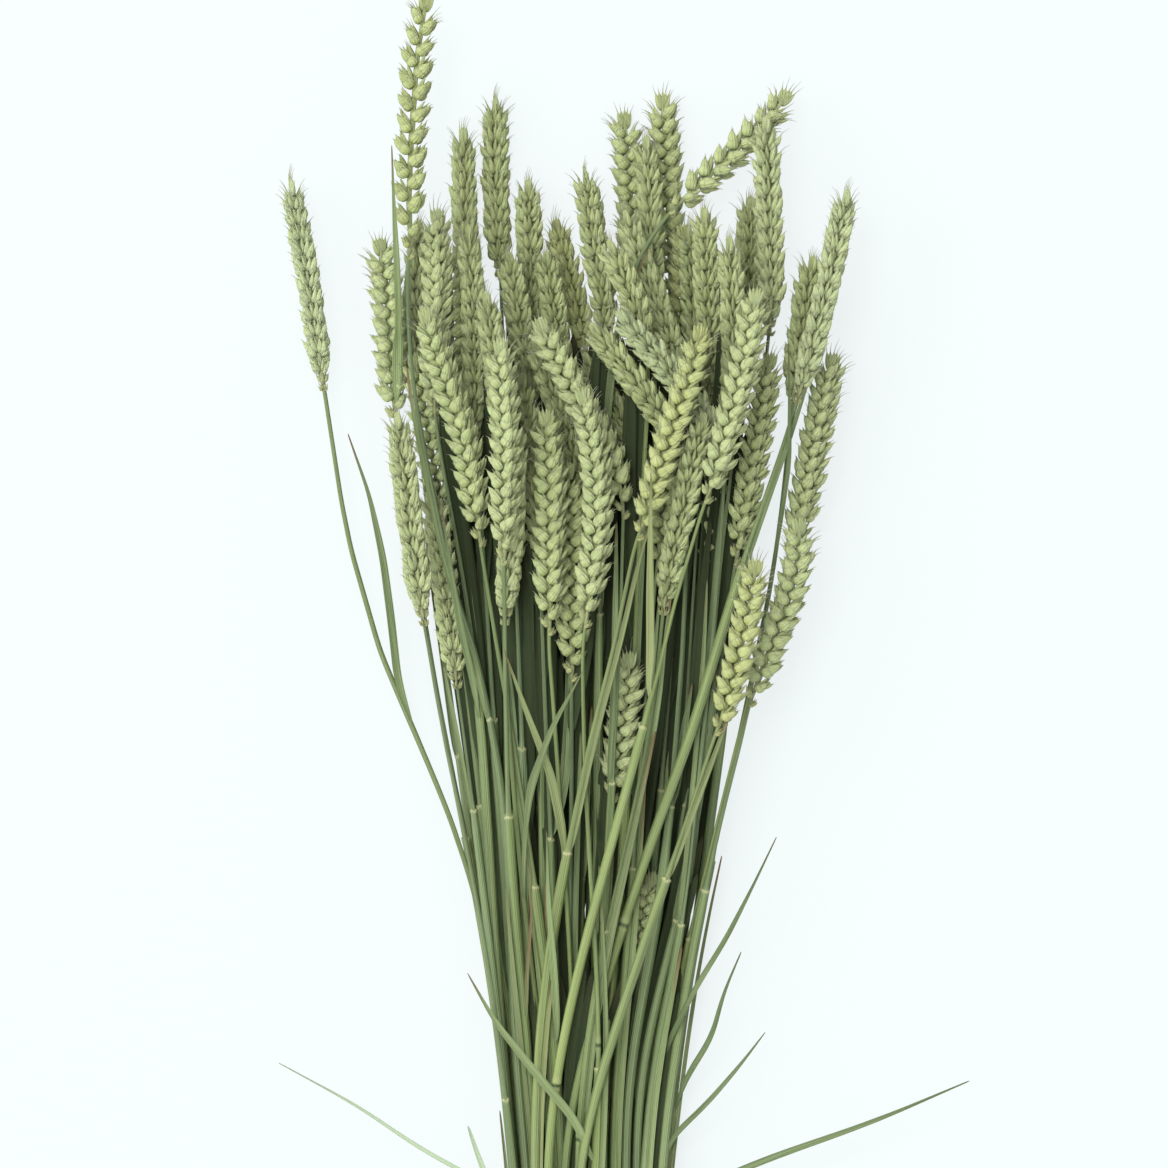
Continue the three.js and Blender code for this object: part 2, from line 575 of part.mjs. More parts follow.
// Rows of six points: the corner tips of both ranks and the two seams between them.
// The ranks are half a pitch apart, so every row is tilted.
function addEar(s, points, triangles) {
  const from = s.earLow + 1.5;
  const span = s.high - from;
  const tilt = Math.hypot(1, (valueAt(s.x, s.high) - valueAt(s.x, from)) / span);
  const count = Math.max(5, Math.round(span * tilt / SPIKELET_PITCH) - (s.layer < 3 ? 2 : 1));
  const pitch = span / (count + 1.15);
  const start = points.length;
  const phase = [0, 0.25, 0.5, 0.5, 0.25, 0];
  const sideU = [1, 0, -1, -1, 0, 1];
  const sideV = [1, 1, 1, -1, -1, -1];
  const addRow = (base, out) => {
    for (let c = 0; c < 6; c += 1) {
      const seam = sideU[c] === 0;
      const back = seam ? (out ? -LIP - 0.06 : 0.06) : 0;
      const y = Math.min(from + pitch * (base + phase[c] + back), s.high - 0.6);
      const size = earShape((y - s.earLow) / (s.high - s.earLow)) * s.plump;
      const reach = (out ? 1 : EAR_CORE) * size;
      const u = seam ? 0 : sideU[c] * EAR_RANK * reach;
      const seamReach = (out ? 0.78 : 0.7) * size;
      const tipReach = out ? reach : lerp(reach, size, 0.45);
      const v = sideV[c] * EAR_FAN * (seam ? seamReach : tipReach);
      points.push(offset(frameAt(s, y, s.turn), u, v));
    }
  };
  let rows = 0;
  for (let k = 0; k < count; k += 1) {
    addRow(k, false);
    addRow(k + 1 + LIP, true);
    rows += 2;
  }
  addRow(count, false);
  rows += 1;
  for (let i = 0; i < rows - 1; i += 1) {
    for (let c = 0; c < 6; c += 1) {
      const a = start + i * 6 + c;
      const b = start + i * 6 + (c + 1) % 6;
      triangles.push([a, b, b + 6], [a, b + 6, a + 6]);
    }
  }
  const apex = points.length;
  points.push(offset(frameAt(s, s.high, s.turn), 0, 0));
  const top = start + (rows - 1) * 6;
  for (let c = 0; c < 6; c += 1) triangles.push([top + c, top + (c + 1) % 6, apex]);
}

// A blade: flat strip, widest a quarter of the way out, narrowing to a blunt tip.
function bladeSolid(b) {
  const length = b.high - b.low;
  const count = Math.max(4, Math.ceil(length / 26));
  const points = [];
  const triangles = [];
  for (let i = 0; i <= count; i += 1) {
    const t = i / count;
    const y = b.rootLow ? lerp(b.low, b.high, t) : lerp(b.high, b.low, t);
    const f = frameAt(b, y, 0);
    const opening = 0.62 + 0.38 * smoothstep(0, 0.22, t);
    const half = b.half * opening * (1 - 0.72 * smoothstep(0.45, 1, t));
    const h = BLADE_THICK / 2;
    points.push(offset(f, half, h), offset(f, -half, h));
    points.push(offset(f, -half, -h), offset(f, half, -h));
  }
  triangles.push([0, 2, 1], [0, 3, 2]);
  for (let i = 0; i < count; i += 1) {
    for (let c = 0; c < 4; c += 1) {
      const a = i * 4 + c;
      const d = i * 4 + (c + 1) % 4;
      triangles.push([a, d, d + 4], [a, d + 4, a + 4]);
    }
  }
  const e = count * 4;
  triangles.push([e, e + 1, e + 2], [e, e + 2, e + 3]);
  return toSolid(points, outward(points, triangles));
}

// ---- the tie --------------------------------------------------------------------
// Outline of the stalks at the tie, as a convex ring in x and z.
function outlineAtTie(stalks) {
  const dots = [];
  for (const s of stalks) {
    for (let d = -BAND_WIDTH / 2 - 1; d <= BAND_WIDTH / 2 + 1; d += 2) {
      const y = TIE_Y + d;
      const r = SHEATH_RADIUS * s.girth * 1.12;
      for (let a = 0; a < 12; a += 1) {
        const t = a * Math.PI / 6;
        dots.push([valueAt(s.x, y) + r * Math.cos(t), valueAt(s.z, y) + r * Math.sin(t)]);
      }
    }
  }
  dots.sort((p, q) => p[0] - q[0] || p[1] - q[1]);
  const turn = (o, a, b) => (a[0] - o[0]) * (b[1] - o[1]) - (a[1] - o[1]) * (b[0] - o[0]);
  const half = (list) => {
    const hull = [];
    for (const p of list) {
      while (hull.length > 1 && turn(hull[hull.length - 2], hull[hull.length - 1], p) <= 0) hull.pop();
      hull.push(p);
    }
    hull.pop();
    return hull;
  };
  return half(dots).concat(half(dots.reverse()));
}

// Ring of straight runs laid against the outline, one in each of count directions.
function ringAround(outline, count, gap) {
  const step = 2 * Math.PI / count;
  const reach = [];
  for (let i = 0; i < count; i += 1) {
    const c = Math.cos(i * step);
    const d = Math.sin(i * step);
    reach.push(Math.max(...outline.map(([x, z]) => x * c + z * d)) + gap);
  }
  return reach.map((h, i) => {
    const g = reach[(i + 1) % count];
    const a = i * step;
    const b = a + step;
    const x = (h * Math.sin(b) - g * Math.sin(a)) / Math.sin(step);
    const z = (g * Math.cos(a) - h * Math.cos(b)) / Math.sin(step);
    return { x, z, nx: Math.cos(a + step / 2), nz: Math.sin(a + step / 2) };
  });
}

// Three turns of cord: the outer side of the ring has three rounded ridges.
function tieSolid(stalks) {
  const count = 28;
  const ring = ringAround(outlineAtTie(stalks), count, BAND_GAP);
  const turn = BAND_WIDTH / 3;
  const profile = [[0, 0]];
  for (let n = 0; n < 3; n += 1) {
    profile.push([n * turn + 0.1 * turn, BAND_THICK * 0.55], [n * turn + 0.5 * turn, BAND_THICK]);
    profile.push([n * turn + 0.9 * turn, BAND_THICK * 0.55]);
  }
  profile.push([BAND_WIDTH, 0]);
  const points = [];
  const triangles = [];
  const m = profile.length;
  for (const q of ring) {
    for (const [w, h] of profile) {
      points.push([q.x + h * q.nx, TIE_Y - BAND_WIDTH / 2 + w, q.z + h * q.nz]);
    }
  }
  for (let i = 0; i < count; i += 1) {
    const n = (i + 1) % count;
    for (let c = 0; c < m; c += 1) {
      const d = (c + 1) % m;
      triangles.push([i * m + c, n * m + c, n * m + d], [i * m + c, n * m + d, i * m + d]);
    }
  }
  return toSolid(points, outward(points, triangles));
}

// ---- assembly ---------------------------------------------------------------------
function toMesh(solid, name, colour, roughness) {
  const { vertProperties, triVerts } = solid.getMesh();
  const geometry = new THREE.BufferGeometry();
  geometry.setAttribute("position", new THREE.BufferAttribute(new Float32Array(vertProperties), 3));
  geometry.setIndex(new THREE.BufferAttribute(new Uint32Array(triVerts), 1));
  geometry.computeVertexNormals();
  const material = new THREE.MeshStandardMaterial({ color: colour, roughness, metalness: 0 });
  const mesh = new THREE.Mesh(geometry, material);
  mesh.name = name;
  return mesh;
}

const random = randomSource(58);
const stalks = STALKS.map((row, i) => layStalk(row, i, random));
const blades = BLADES.map((row) => layBlade(row, stalks));
settle(stalks.concat(blades), stalks);

const solids = stalks.map((s) => {
  const own = blades.filter((b) => b.owner === s.index).map(bladeSolid);
  const solid = own.reduce((sum, blade) => sum.add(blade), stalkSolid(s)).trimByPlane([0, 0, 1], 0);
  const name = `stalk_${String(s.index + 1).padStart(2, "0")}`;
  return { solid, name, colour: TONES[s.tone], rough: 0.8 };
});
const cord = tieSolid(stalks).trimByPlane([0, 0, 1], 0);
solids.push({ solid: cord, name: "tie_cord", colour: CORD_COLOUR, rough: 0.9 });

// The origin goes to the middle of the footprint, on the surface.
const boxes = solids.map(({ solid }) => solid.boundingBox());
const middle = [0, 1].map((axis) => {
  const low = Math.min(...boxes.map((box) => box.min[axis]));
  const high = Math.max(...boxes.map((box) => box.max[axis]));
  return -(low + high) / 2;
});

const bundle = new THREE.Group();
bundle.name = "dried_wheat_bundle";
for (const { solid, name, colour, rough } of solids) {
  bundle.add(toMesh(solid.translate([middle[0], middle[1], 0]), name, colour, rough));
}

export default bundle;
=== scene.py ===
"""Dried wheat: 58 stalks tied with a cord, lying on a pale surface and seen from above.

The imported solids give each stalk's course, thickness and the length of its ear. Every
stalk is then dressed as a real one: straw with its leaf sheath, collar and joints, an ear
of two ranks of spikelets (two glumes and the lemmas of seven florets each, with awns), and
its blades.

Lengths are in mm until a mesh is made. On an ear, "rank" points from one rank of spikelets
to the other, "fan" across it, and "along" from the ear's foot to its tip.
"""
import json
import math

import bpy
import numpy as np
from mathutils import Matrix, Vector


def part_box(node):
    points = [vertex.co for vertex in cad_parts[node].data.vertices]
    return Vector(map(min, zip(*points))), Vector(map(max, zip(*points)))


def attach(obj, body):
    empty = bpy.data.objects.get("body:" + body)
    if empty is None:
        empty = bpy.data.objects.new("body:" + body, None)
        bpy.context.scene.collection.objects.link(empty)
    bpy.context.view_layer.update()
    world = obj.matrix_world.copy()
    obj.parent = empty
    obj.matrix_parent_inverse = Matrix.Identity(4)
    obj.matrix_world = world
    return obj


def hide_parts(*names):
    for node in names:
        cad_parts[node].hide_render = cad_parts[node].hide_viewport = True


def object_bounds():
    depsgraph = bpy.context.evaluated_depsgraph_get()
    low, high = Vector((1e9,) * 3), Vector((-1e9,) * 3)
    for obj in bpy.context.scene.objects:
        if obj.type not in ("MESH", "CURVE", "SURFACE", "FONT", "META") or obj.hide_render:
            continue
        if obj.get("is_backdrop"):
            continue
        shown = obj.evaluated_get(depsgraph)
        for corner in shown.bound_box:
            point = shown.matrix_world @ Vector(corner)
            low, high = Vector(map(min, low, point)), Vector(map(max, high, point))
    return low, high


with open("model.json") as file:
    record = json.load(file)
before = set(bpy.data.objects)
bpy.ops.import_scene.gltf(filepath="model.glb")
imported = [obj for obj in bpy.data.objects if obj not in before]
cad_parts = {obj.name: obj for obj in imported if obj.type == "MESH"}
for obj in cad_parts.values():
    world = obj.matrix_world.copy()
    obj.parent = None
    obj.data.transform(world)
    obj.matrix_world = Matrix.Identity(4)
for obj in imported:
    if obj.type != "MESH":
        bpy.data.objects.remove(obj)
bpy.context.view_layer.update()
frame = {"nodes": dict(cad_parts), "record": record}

MM = 0.001
NODES = frame["nodes"]
SLOTS = {part["node"]: part["material_slot"] for part in frame["record"]["subparts"]}
STALKS = sorted(name for name in NODES if name.startswith("stalk_"))

# How far each ear is turned about its own axis, in degrees: 0 shows both ranks side by
# side, like a braid; 90 shows one rank, like a feather.
TURNS = [8, 80, 95, 85, 100, 80, 45, 30, 90, 85, 30, 95, 80, 10, 30, 20, 5, 0, -5, 90,
         80, 0, 95, 0, 10, 5, 85, 95, 90, 80, 85, 90, 0, 85, 95, 90, 30, 85, 80, 20,
         90, 85, 40, 0, 10, 0, 5, 90, 85, 40, 5, 0, 85, 90, 80, 90, 5, 85]

# Ears that differ: their width against the others', and the spacing of their spikelets in
# mm; and how bleached some ears are.
EARS = {1: (1.02, 4.6), 23: (0.92,), 40: (0.95, 4.0), 47: (0.85,)}
PALEST = {1: 0.0, 20: 0.25, 23: 0.5, 30: 0.4, 38: 0.25, 41: 0.4}

# The bundle's middle line and its half width at heights along it, mm.
AXIS_X = -13.7
BUNDLE_HALF = ([-343, -184, -130, -60, 20, 100, 200], [33, 29, 33, 46, 62, 78, 84])

# Joints of the straw that show from above: stalk and height over the cut ends, mm.
JOINTS = {41: (310, 272), 37: (246,), 23: (235,), 49: (224,), 15: (262,), 7: (190,),
          12: (206,)}

# Stalks whose blade lies inside the bundle, folded; and how some blades differ: share of
# the solid's width that is left after drying, how brown, yellowed, pale or dark.
FOLDED = (4, 5, 6, 9, 10, 28, 31, 32, 53, 55, 56, 57)
LOOKS = {11: {"brown": 0.85, "share": 0.6}, 12: {"opening": 0.4, "share": 0.85, "yellowed": 0.1},
         16: {"share": 1.15, "yellowed": 0.4}, 20: {"share": 0.45, "pale": 0.7},
         37: {"share": 0.8, "yellowed": 0.5}, 42: {"share": 0.65, "light": 0.0},
         43: {"share": 0.6, "light": 0.0}, 44: {"share": 0.7, "light": 0.2}}

# Share of yellow, and of bleaching, in the stalks of each slot.
RIPE = {"wheat_green": 0.06, "wheat_pale": 0.12, "wheat_dark": 0.02, "wheat_yellow": 0.42}
BLEACHED = {"wheat_green": 0.05, "wheat_pale": 0.18, "wheat_dark": 0.0, "wheat_yellow": 0.05}

# Reading a solid, mm and mm2: spacing of the slices; the least area of a slice of an ear
# and the most of one of straw; how far the straw, and a blade, may step from one slice to
# the next; the radius that only sheathed straw has. The straw in the solids has four
# sides, with its corners CORNER radii out.
SLICE_STEP = 2.5
LEAST_EAR_AREA = 14
MOST_STRAW_AREA = 6.5
STRAW_JUMP = 7
BLADE_JUMP = 14
SHEATHED_RADIUS = 1.72
CORNER = 1.12

# The course of the lower straw is drawn out smoothly between these heights, mm: it begins
# over the first, is full over the next RAMP_IN, and fades out over the last RAMP_OUT.
CALM_LOW, RAMP_IN = -175, 35
CALM_HIGH, RAMP_OUT = 70, 70

# The tie's middle over the cut ends, mm, and the cord's radius and turns.
TIE_HEIGHT = 160
CORD_RADIUS = 1.75
CORD_TURNS = 3

# Stalks whose straw lies lower than this on the whole, mm, carry dead leaves, coloured
# near black as painted shade of the bundle's depth. The deepest have them all the way up,
# the others only below the low ears. Heights where leaves start, and where the last one
# ends.
OLD_LEAVES_UNDER, DEEP_UNDER = 34, 26
DEEP_LEAVES = (-300, -200, -90, -40, 0, 40), 205
LOW_LEAVES = (-300, -240, -180), -50


# ---------------------------------------------------------------- reading the stalks
def read_mesh(node):
    """Vertices in mm, merged by place, and triangles of a CAD node."""
    mesh = NODES[node].data
    co = np.empty(len(mesh.vertices) * 3, np.float32)
    mesh.vertices.foreach_get("co", co)
    mesh.calc_loop_triangles()
    tris = np.empty(len(mesh.loop_triangles) * 3, np.int32)
    mesh.loop_triangles.foreach_get("vertices", tris)
    places, index = np.unique(np.round(co.reshape(-1, 3) / MM, 3), axis=0, return_inverse=True)
    return places, index.reshape(-1)[tris].reshape(-1, 3)


def loops_at(places, tris, y):
    """Closed outlines of the solid in the plane at y: (area, centre x, centre z) of each.

    Every triangle that crosses the plane gives one directed run of an outline; the area
    and centre of a polygon are sums over its runs, in any order."""
    above = places[:, 1] > y
    corner_above = above[tris]
    a = tris[corner_above.any(1) & ~corner_above.all(1)]
    b = np.roll(a, -1, axis=1)
    rise = ~above[a] & above[b]
    fall = above[a] & ~above[b]

    def crossing(mask):
        p, q = a[mask], b[mask]
        t = ((y - places[p, 1]) / (places[q, 1] - places[p, 1]))[:, None]
        return places[p] + (places[q] - places[p]) * t, np.sort(np.stack([p, q], 1), axis=1)

    start, key_s = crossing(rise)
    end, key_e = crossing(fall)
    keys, label = np.unique(np.concatenate([key_s, key_e]), axis=0, return_inverse=True)
    label = label.reshape(-1)
    n = len(start)
    group = np.arange(len(keys))
    while True:
        low = np.minimum(group[label[:n]], group[label[n:]])
        new = group.copy()
        np.minimum.at(new, label[:n], low)
        np.minimum.at(new, label[n:], low)
        if (new == group).all():
            break
        group = new
    found = []
    speck = 0.02
    for g in np.unique(group):
        runs = group[label[:n]] == g
        x1, z1, x2, z2 = start[runs, 0], start[runs, 2], end[runs, 0], end[runs, 2]
        swept = x1 * z2 - x2 * z1
        area = swept.sum() / 2
        if abs(area) < speck:
            continue
        centre = ((x1 + x2) * swept).sum() / (6 * area), ((z1 + z2) * swept).sum() / (6 * area)
        found.append((abs(area), *centre))
    return found


def smooth(values, reach):
    """Mean over a window of 2 reach + 1 samples, the ends held."""
    if reach < 1:
        return values
    padded = np.concatenate([np.repeat(values[:1], reach, 0), values,
                             np.repeat(values[-1:], reach, 0)])
    total = np.cumsum(np.concatenate([np.zeros_like(padded[:1]), padded]), axis=0)
    width = 2 * reach + 1
    return (total[width:] - total[:-width]) / width


def read_stalk(node):
    """Course and radius of a stalk, where its ear and its collar are, and its blades.

    The solid is sliced from its foot up. In each slice the outline that lies nearest to
    where the last two point is the stalk's own, and a run of other outlines is a blade."""
    places, tris = read_mesh(node)
    low, high = places[:, 1].min(), places[:, 1].max()
    heights = np.arange(low + 0.4, high - 0.3, SLICE_STEP)
    main, blades, open_blades = [], [], []
    for y in heights:
        loops = loops_at(places, tris, y)
        if not loops:
            break
        if main:
            last = np.array(main[-1][2:])
            slope = last - np.array(main[-2][2:]) if len(main) > 1 else 0
            gap = [np.hypot(*(np.array(loop[1:]) - last - slope))
                   - (2 if loop[0] > LEAST_EAR_AREA else 0) for loop in loops]
            chosen = int(np.argmin(gap))
            if gap[chosen] > STRAW_JUMP:
                chosen = -1
        else:
            chosen = int(np.argmax([loop[0] for loop in loops]))
        if chosen >= 0:
            main.append((y, *loops[chosen]))
        still = []
        for i, loop in enumerate(loops):
            if i == chosen:
                continue
            near = [blade for blade in open_blades
                    if np.hypot(blade[-1][2] - loop[1], blade[-1][3] - loop[2]) < BLADE_JUMP]
            if near:
                near[0].append((y, *loop))
                still.append(near[0])
                open_blades.remove(near[0])
            else:
                blades.append([(y, *loop)])
                still.append(blades[-1])
        open_blades = still
    main = np.array(main)
    y, area, centre = main[:, 0], main[:, 1], main[:, 2:]
    top = len(y) - 1
    while top > 0 and area[top] < LEAST_EAR_AREA:
        top -= 1
    base = top
    while base > 0 and area[base] > MOST_STRAW_AREA:
        base -= 1
    stem = smooth(centre, 2)
    calm = np.clip((y - CALM_LOW) / RAMP_IN, 0, 1) * np.clip((CALM_HIGH - y) / RAMP_OUT, 0, 1)
    stem += (smooth(smooth(stem, 13), 13) - stem) * calm[:, None]
    ear = smooth(centre, 3)
    blend = np.clip((np.arange(len(y)) - base) / 6.0, 0, 1)[:, None]
    centre = stem * (1 - blend) + ear * blend
    path = np.stack([centre[:, 0], y, centre[:, 1]], 1)
    radius = np.sqrt(smooth(area, 1) / 2) / CORNER
    wide = np.nonzero(radius[:base] > SHEATHED_RADIUS)[0]
    collar = int(wide[-1]) if len(wide) else 0
    return {"path": path, "radius": radius, "base": base, "collar": collar,
            "blades": [np.array(blade) for blade in blades if len(blade) > 6]}


# ---------------------------------------------------------------- surfaces
def frames_along(path):
    """Unit tangent, side and up vectors at each point of a path in mm."""
    t = np.gradient(path, axis=0)
    t /= np.linalg.norm(t, axis=1, keepdims=True)
    side = np.cross(t, [0, 0, 1.0])
    side /= np.linalg.norm(side, axis=1, keepdims=True)
    return t, side, np.cross(side, t)


def resample(path, spacing, *columns):
    """The path, and columns that go with it, at even spacing of arc length."""
    run = np.concatenate([[0], np.cumsum(np.linalg.norm(np.diff(path, axis=0), axis=1))])
    count = max(3, int(round(run[-1] / spacing)) + 1)
    s = np.linspace(0, run[-1], count)
    at = lambda v: np.stack([np.interp(s, run, v[:, i]) for i in range(v.shape[1])], 1)
    return s, at(path), *[np.interp(s, run, c) for c in columns]


def shells(grid):
    """Closed surfaces from a grid (bodies, rings, points around, 3): the rings are joined
    by quads and each end is closed by a fan to the middle of its ring."""
    bodies, rings, around, _ = grid.shape
    index = np.arange(bodies * rings * around).reshape(bodies, rings, around)
    beside = np.roll(index, -1, axis=2)
    quads = np.stack([index[:, :-1], index[:, 1:], beside[:, 1:], beside[:, :-1]], -1)
    quads = quads.reshape(-1, 4)
    foot = bodies * rings * around + np.arange(bodies)[:, None] + np.zeros((1, around), int)
    head = foot + bodies
    fans = np.concatenate([
        np.stack([foot, index[:, 0], beside[:, 0]], -1).reshape(-1, 3),
        np.stack([head, beside[:, -1], index[:, -1]], -1).reshape(-1, 3)])
    co = np.concatenate([grid.reshape(-1, 3), grid[:, 0].mean(1), grid[:, -1].mean(1)])
    u = (np.arange(around) / around)[None, None, :] + np.zeros((bodies, rings, 1))
    v = np.linspace(0, 1, rings)[None, :, None] + np.zeros((bodies, 1, around))
    du = 1 / around
    dv = 1 / (rings - 1)
    corners_at = lambda *places: np.stack([np.stack(uv, -1) for uv in places], -2).reshape(-1, 2)
    cu, cv = u[:, :-1], v[:, :-1]
    fu, low = u[:, 0], np.zeros_like(u[:, 0])
    uv = np.concatenate([
        corners_at((cu, cv), (cu, cv + dv), (cu + du, cv + dv), (cu + du, cv)),
        corners_at((fu + du / 2, low), (fu, low), (fu + du, low)),
        corners_at((fu + du / 2, low + 1), (fu + du, low + 1), (fu, low + 1))])
    return co, quads, fans, uv


def spread(values, bodies, rings, around):
    """One value per body (or per body and ring) for every vertex that shells() makes."""
    values = np.asarray(values, float)
    if values.ndim == 1:
        values = values[:, None] + np.zeros((1, rings))
    body = np.repeat(values[:, :, None], around, 2).reshape(-1)
    return np.concatenate([body, values[:, 0], values[:, -1]])


def join(parts):
    """Several (surface, attributes) sets as one. A surface's UVs are those of its quads,
    then those of its fans, so they are kept apart until the end."""
    co, quads, fans, quad_uv, fan_uv, columns = [], [], [], [], [], {}
    base = 0
    for (c, q, f, uv), attributes in parts:
        co.append(c)
        quads.append(q + base)
        fans.append(f + base)
        quad_uv.append(uv[:len(q) * 4])
        fan_uv.append(uv[len(q) * 4:])
        for key, column in attributes.items():
            columns.setdefault(key, []).append(column)
        base += len(c)
    merged = {key: np.concatenate(c) for key, c in columns.items()}
    return (np.concatenate(co), np.concatenate(quads), np.concatenate(fans),
            np.concatenate(quad_uv + fan_uv)), merged


def make_piece(name, surface, attributes, material, node):
    """A mesh object in metres from a surface in mm, standing for its CAD node."""
    co, quads, fans, uv = surface
    mesh = bpy.data.meshes.new(name)
    mesh.vertices.add(len(co))
    mesh.vertices.foreach_set("co", (co * MM).astype(np.float32).ravel())
    corners = np.concatenate([quads.ravel(), fans.ravel()]).astype(np.int32)
    starts = np.concatenate([np.arange(len(quads)) * 4,
                             len(quads) * 4 + np.arange(len(fans)) * 3])
    mesh.loops.add(len(corners))
    mesh.loops.foreach_set("vertex_index", corners)
    mesh.polygons.add(len(starts))
    mesh.polygons.foreach_set("loop_start", starts.astype(np.int32))
    mesh.polygons.foreach_set("use_smooth", np.ones(len(starts), bool))
    layer = mesh.uv_layers.new(name="UVMap")
    layer.data.foreach_set("uv", uv.astype(np.float32).ravel())
    for key, column in attributes.items():
        values = mesh.attributes.new(key, "FLOAT", "POINT").data
        values.foreach_set("value", column.astype(np.float32))
    mesh.update(calc_edges=True)
    mesh.materials.append(material)
    piece = bpy.data.objects.new(name, mesh)
    bpy.context.scene.collection.objects.link(piece)
    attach(piece, "root")
    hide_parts(node)
    return piece


# ---------------------------------------------------------------- the ear
# A husk's rings, as shares of its length, and how many points go round each.
RING_T = np.array([0, 0.12, 0.34, 0.57, 0.8, 1.0])
HUSK_ROUND = 8


def circle(count):
    """The angles of count points round a circle."""
    return np.arange(count) / count * 2 * math.pi


def husk_width(t, drawn):
    """Share of a husk's full width: a quarter ellipse up to its widest place, then an
    egg-shaped fall to a beak, or one that is drawn out to a point where drawn is 1."""
    widest, foot, beak = 0.38, 0.35, 0.06
    rise = np.sqrt(np.clip(1 - (1 - np.clip(t / widest, 0, 1)) ** 2, 0, 1))
    fall = 1 - np.clip((t - widest) / (1 - widest), 0, 1) ** (2.6 - 1.25 * drawn)
    return np.where(t < widest, foot + (1 - foot) * rise, beak + (1 - beak) * fall)


def husks(base, lean, length, half, thick, bow, bend_to, drawn):
    """Boat-shaped husks in the ear's own straight frame (rank, fan, along).

    Each runs from its base along its lean, bowed outwards; its section is an ellipse,
    pinched to a keel on the outer side."""
    d = lean / np.linalg.norm(lean, axis=1, keepdims=True)
    across = np.cross(d, bend_to)
    across /= np.linalg.norm(across, axis=1, keepdims=True)
    out = np.cross(across, d)
    t = RING_T[None, :, None]
    axis = base[:, None] + d[:, None] * length[:, None, None] * t \
        + out[:, None] * (bow[:, None, None] * np.sin(math.pi * t))
    a = circle(HUSK_ROUND)
    w = husk_width(RING_T[None, :], drawn[:, None])[..., None]
    x = half[:, None, None] * w * np.cos(a)
    keel = np.sin(a) + 0.3 * np.clip(np.sin(a), 0, 1) ** 5
    y = thick[:, None, None] * w * keel
    grid = axis[:, :, None] + across[:, None, None] * x[..., None] \
        + out[:, None, None] * y[..., None]
    return grid, d, out


def awns(tip, d, out, length):
    """Hair-thin awns: three-sided needles from the husk's tip, bending outwards by the
    square of the way along. They are 0.2 mm in radius, as coarse as they need to show."""
    t = np.array([0, 0.5, 1.0])[None, :, None]
    across = np.cross(d, out)
    axis = tip[:, None] + d[:, None] * length[:, None, None] * t \
        + out[:, None] * (0.22 * length[:, None, None] * t ** 2)
    a = circle(3)
    r = (0.2 * (1 - 0.75 * t))[..., None]
    return axis[:, :, None] + r * (across[:, None, None] * np.cos(a)[:, None]
                                   + out[:, None, None] * np.sin(a)[:, None])


def ear_size(t):
    """Size of the spikelets along the ear, by an eased rise and a power: small at the base,
    full from a sixth up to three fifths, then smaller again."""
    rise = np.clip(t / 0.17, 0, 1)
    rise = rise * rise * (3 - 2 * rise)
    fall = np.clip((t - 0.62) / 0.38, 0, 1)
    return 0.36 + 0.64 * rise - 0.26 * fall ** 1.3


# One spikelet, a husk in each row: its foot's place, its lean outwards and sideways in
# degrees, length, half width, half thickness, outward bow, where its back faces, how drawn
# out its tip is, and kind (0 glume, 1 lemma).
(RANK, FAN, ALONG, LEAN_OUT, LEAN_ASIDE, LENGTH, HALF, THICK, BOW, BACK_RANK, BACK_FAN,
 DRAWN, KIND) = range(13)
SPIKELET = np.array([
    (0.60, 1.55, 0.0, 40, 17, 6.0, 2.60, 1.65, 0.75, 0.35, 1.0, 0.10, 0),
    (0.60, -1.55, 0.2, 40, -17, 6.0, 2.60, 1.65, 0.75, 0.35, -1.0, 0.10, 0),
    (1.10, 1.40, 1.3, 46, 23, 7.0, 2.25, 1.50, 0.70, 0.50, 0.9, 0.45, 1),
    (1.10, -1.40, 1.5, 46, -23, 7.0, 2.25, 1.50, 0.70, 0.50, -0.9, 0.45, 1),
    (1.50, 0.75, 1.6, 48, 12, 7.3, 1.75, 1.20, 0.55, 0.95, 0.4, 0.8, 1),
    (1.50, -0.75, 2.0, 47, -12, 7.2, 1.75, 1.20, 0.50, 0.95, -0.4, 0.8, 1),
    (1.10, 0.00, 2.8, 38, 0, 7.2, 1.35, 1.00, 0.35, 1.0, 0.0, 1.0, 1),
    (0.90, 0.95, 2.4, 28, 14, 7.3, 1.15, 0.85, 0.25, 0.5, 0.7, 0.9, 1),
    (0.90, -0.95, 2.7, 28, -14, 7.3, 1.15, 0.85, 0.25, 0.5, -0.7, 0.9, 1),
])

# The top spikelet stands across the two ranks and points straight up: where its husks
# stand, from one side to the other, with their half width, half thickness and bow.
TOP_FAN = np.array([-1.6, -0.7, 0.15, 0.8, 1.7])
TOP_HALF, TOP_THICK, TOP_BOW = np.full(5, 1.5), np.full(5, 1.2), np.full(5, 0.2)


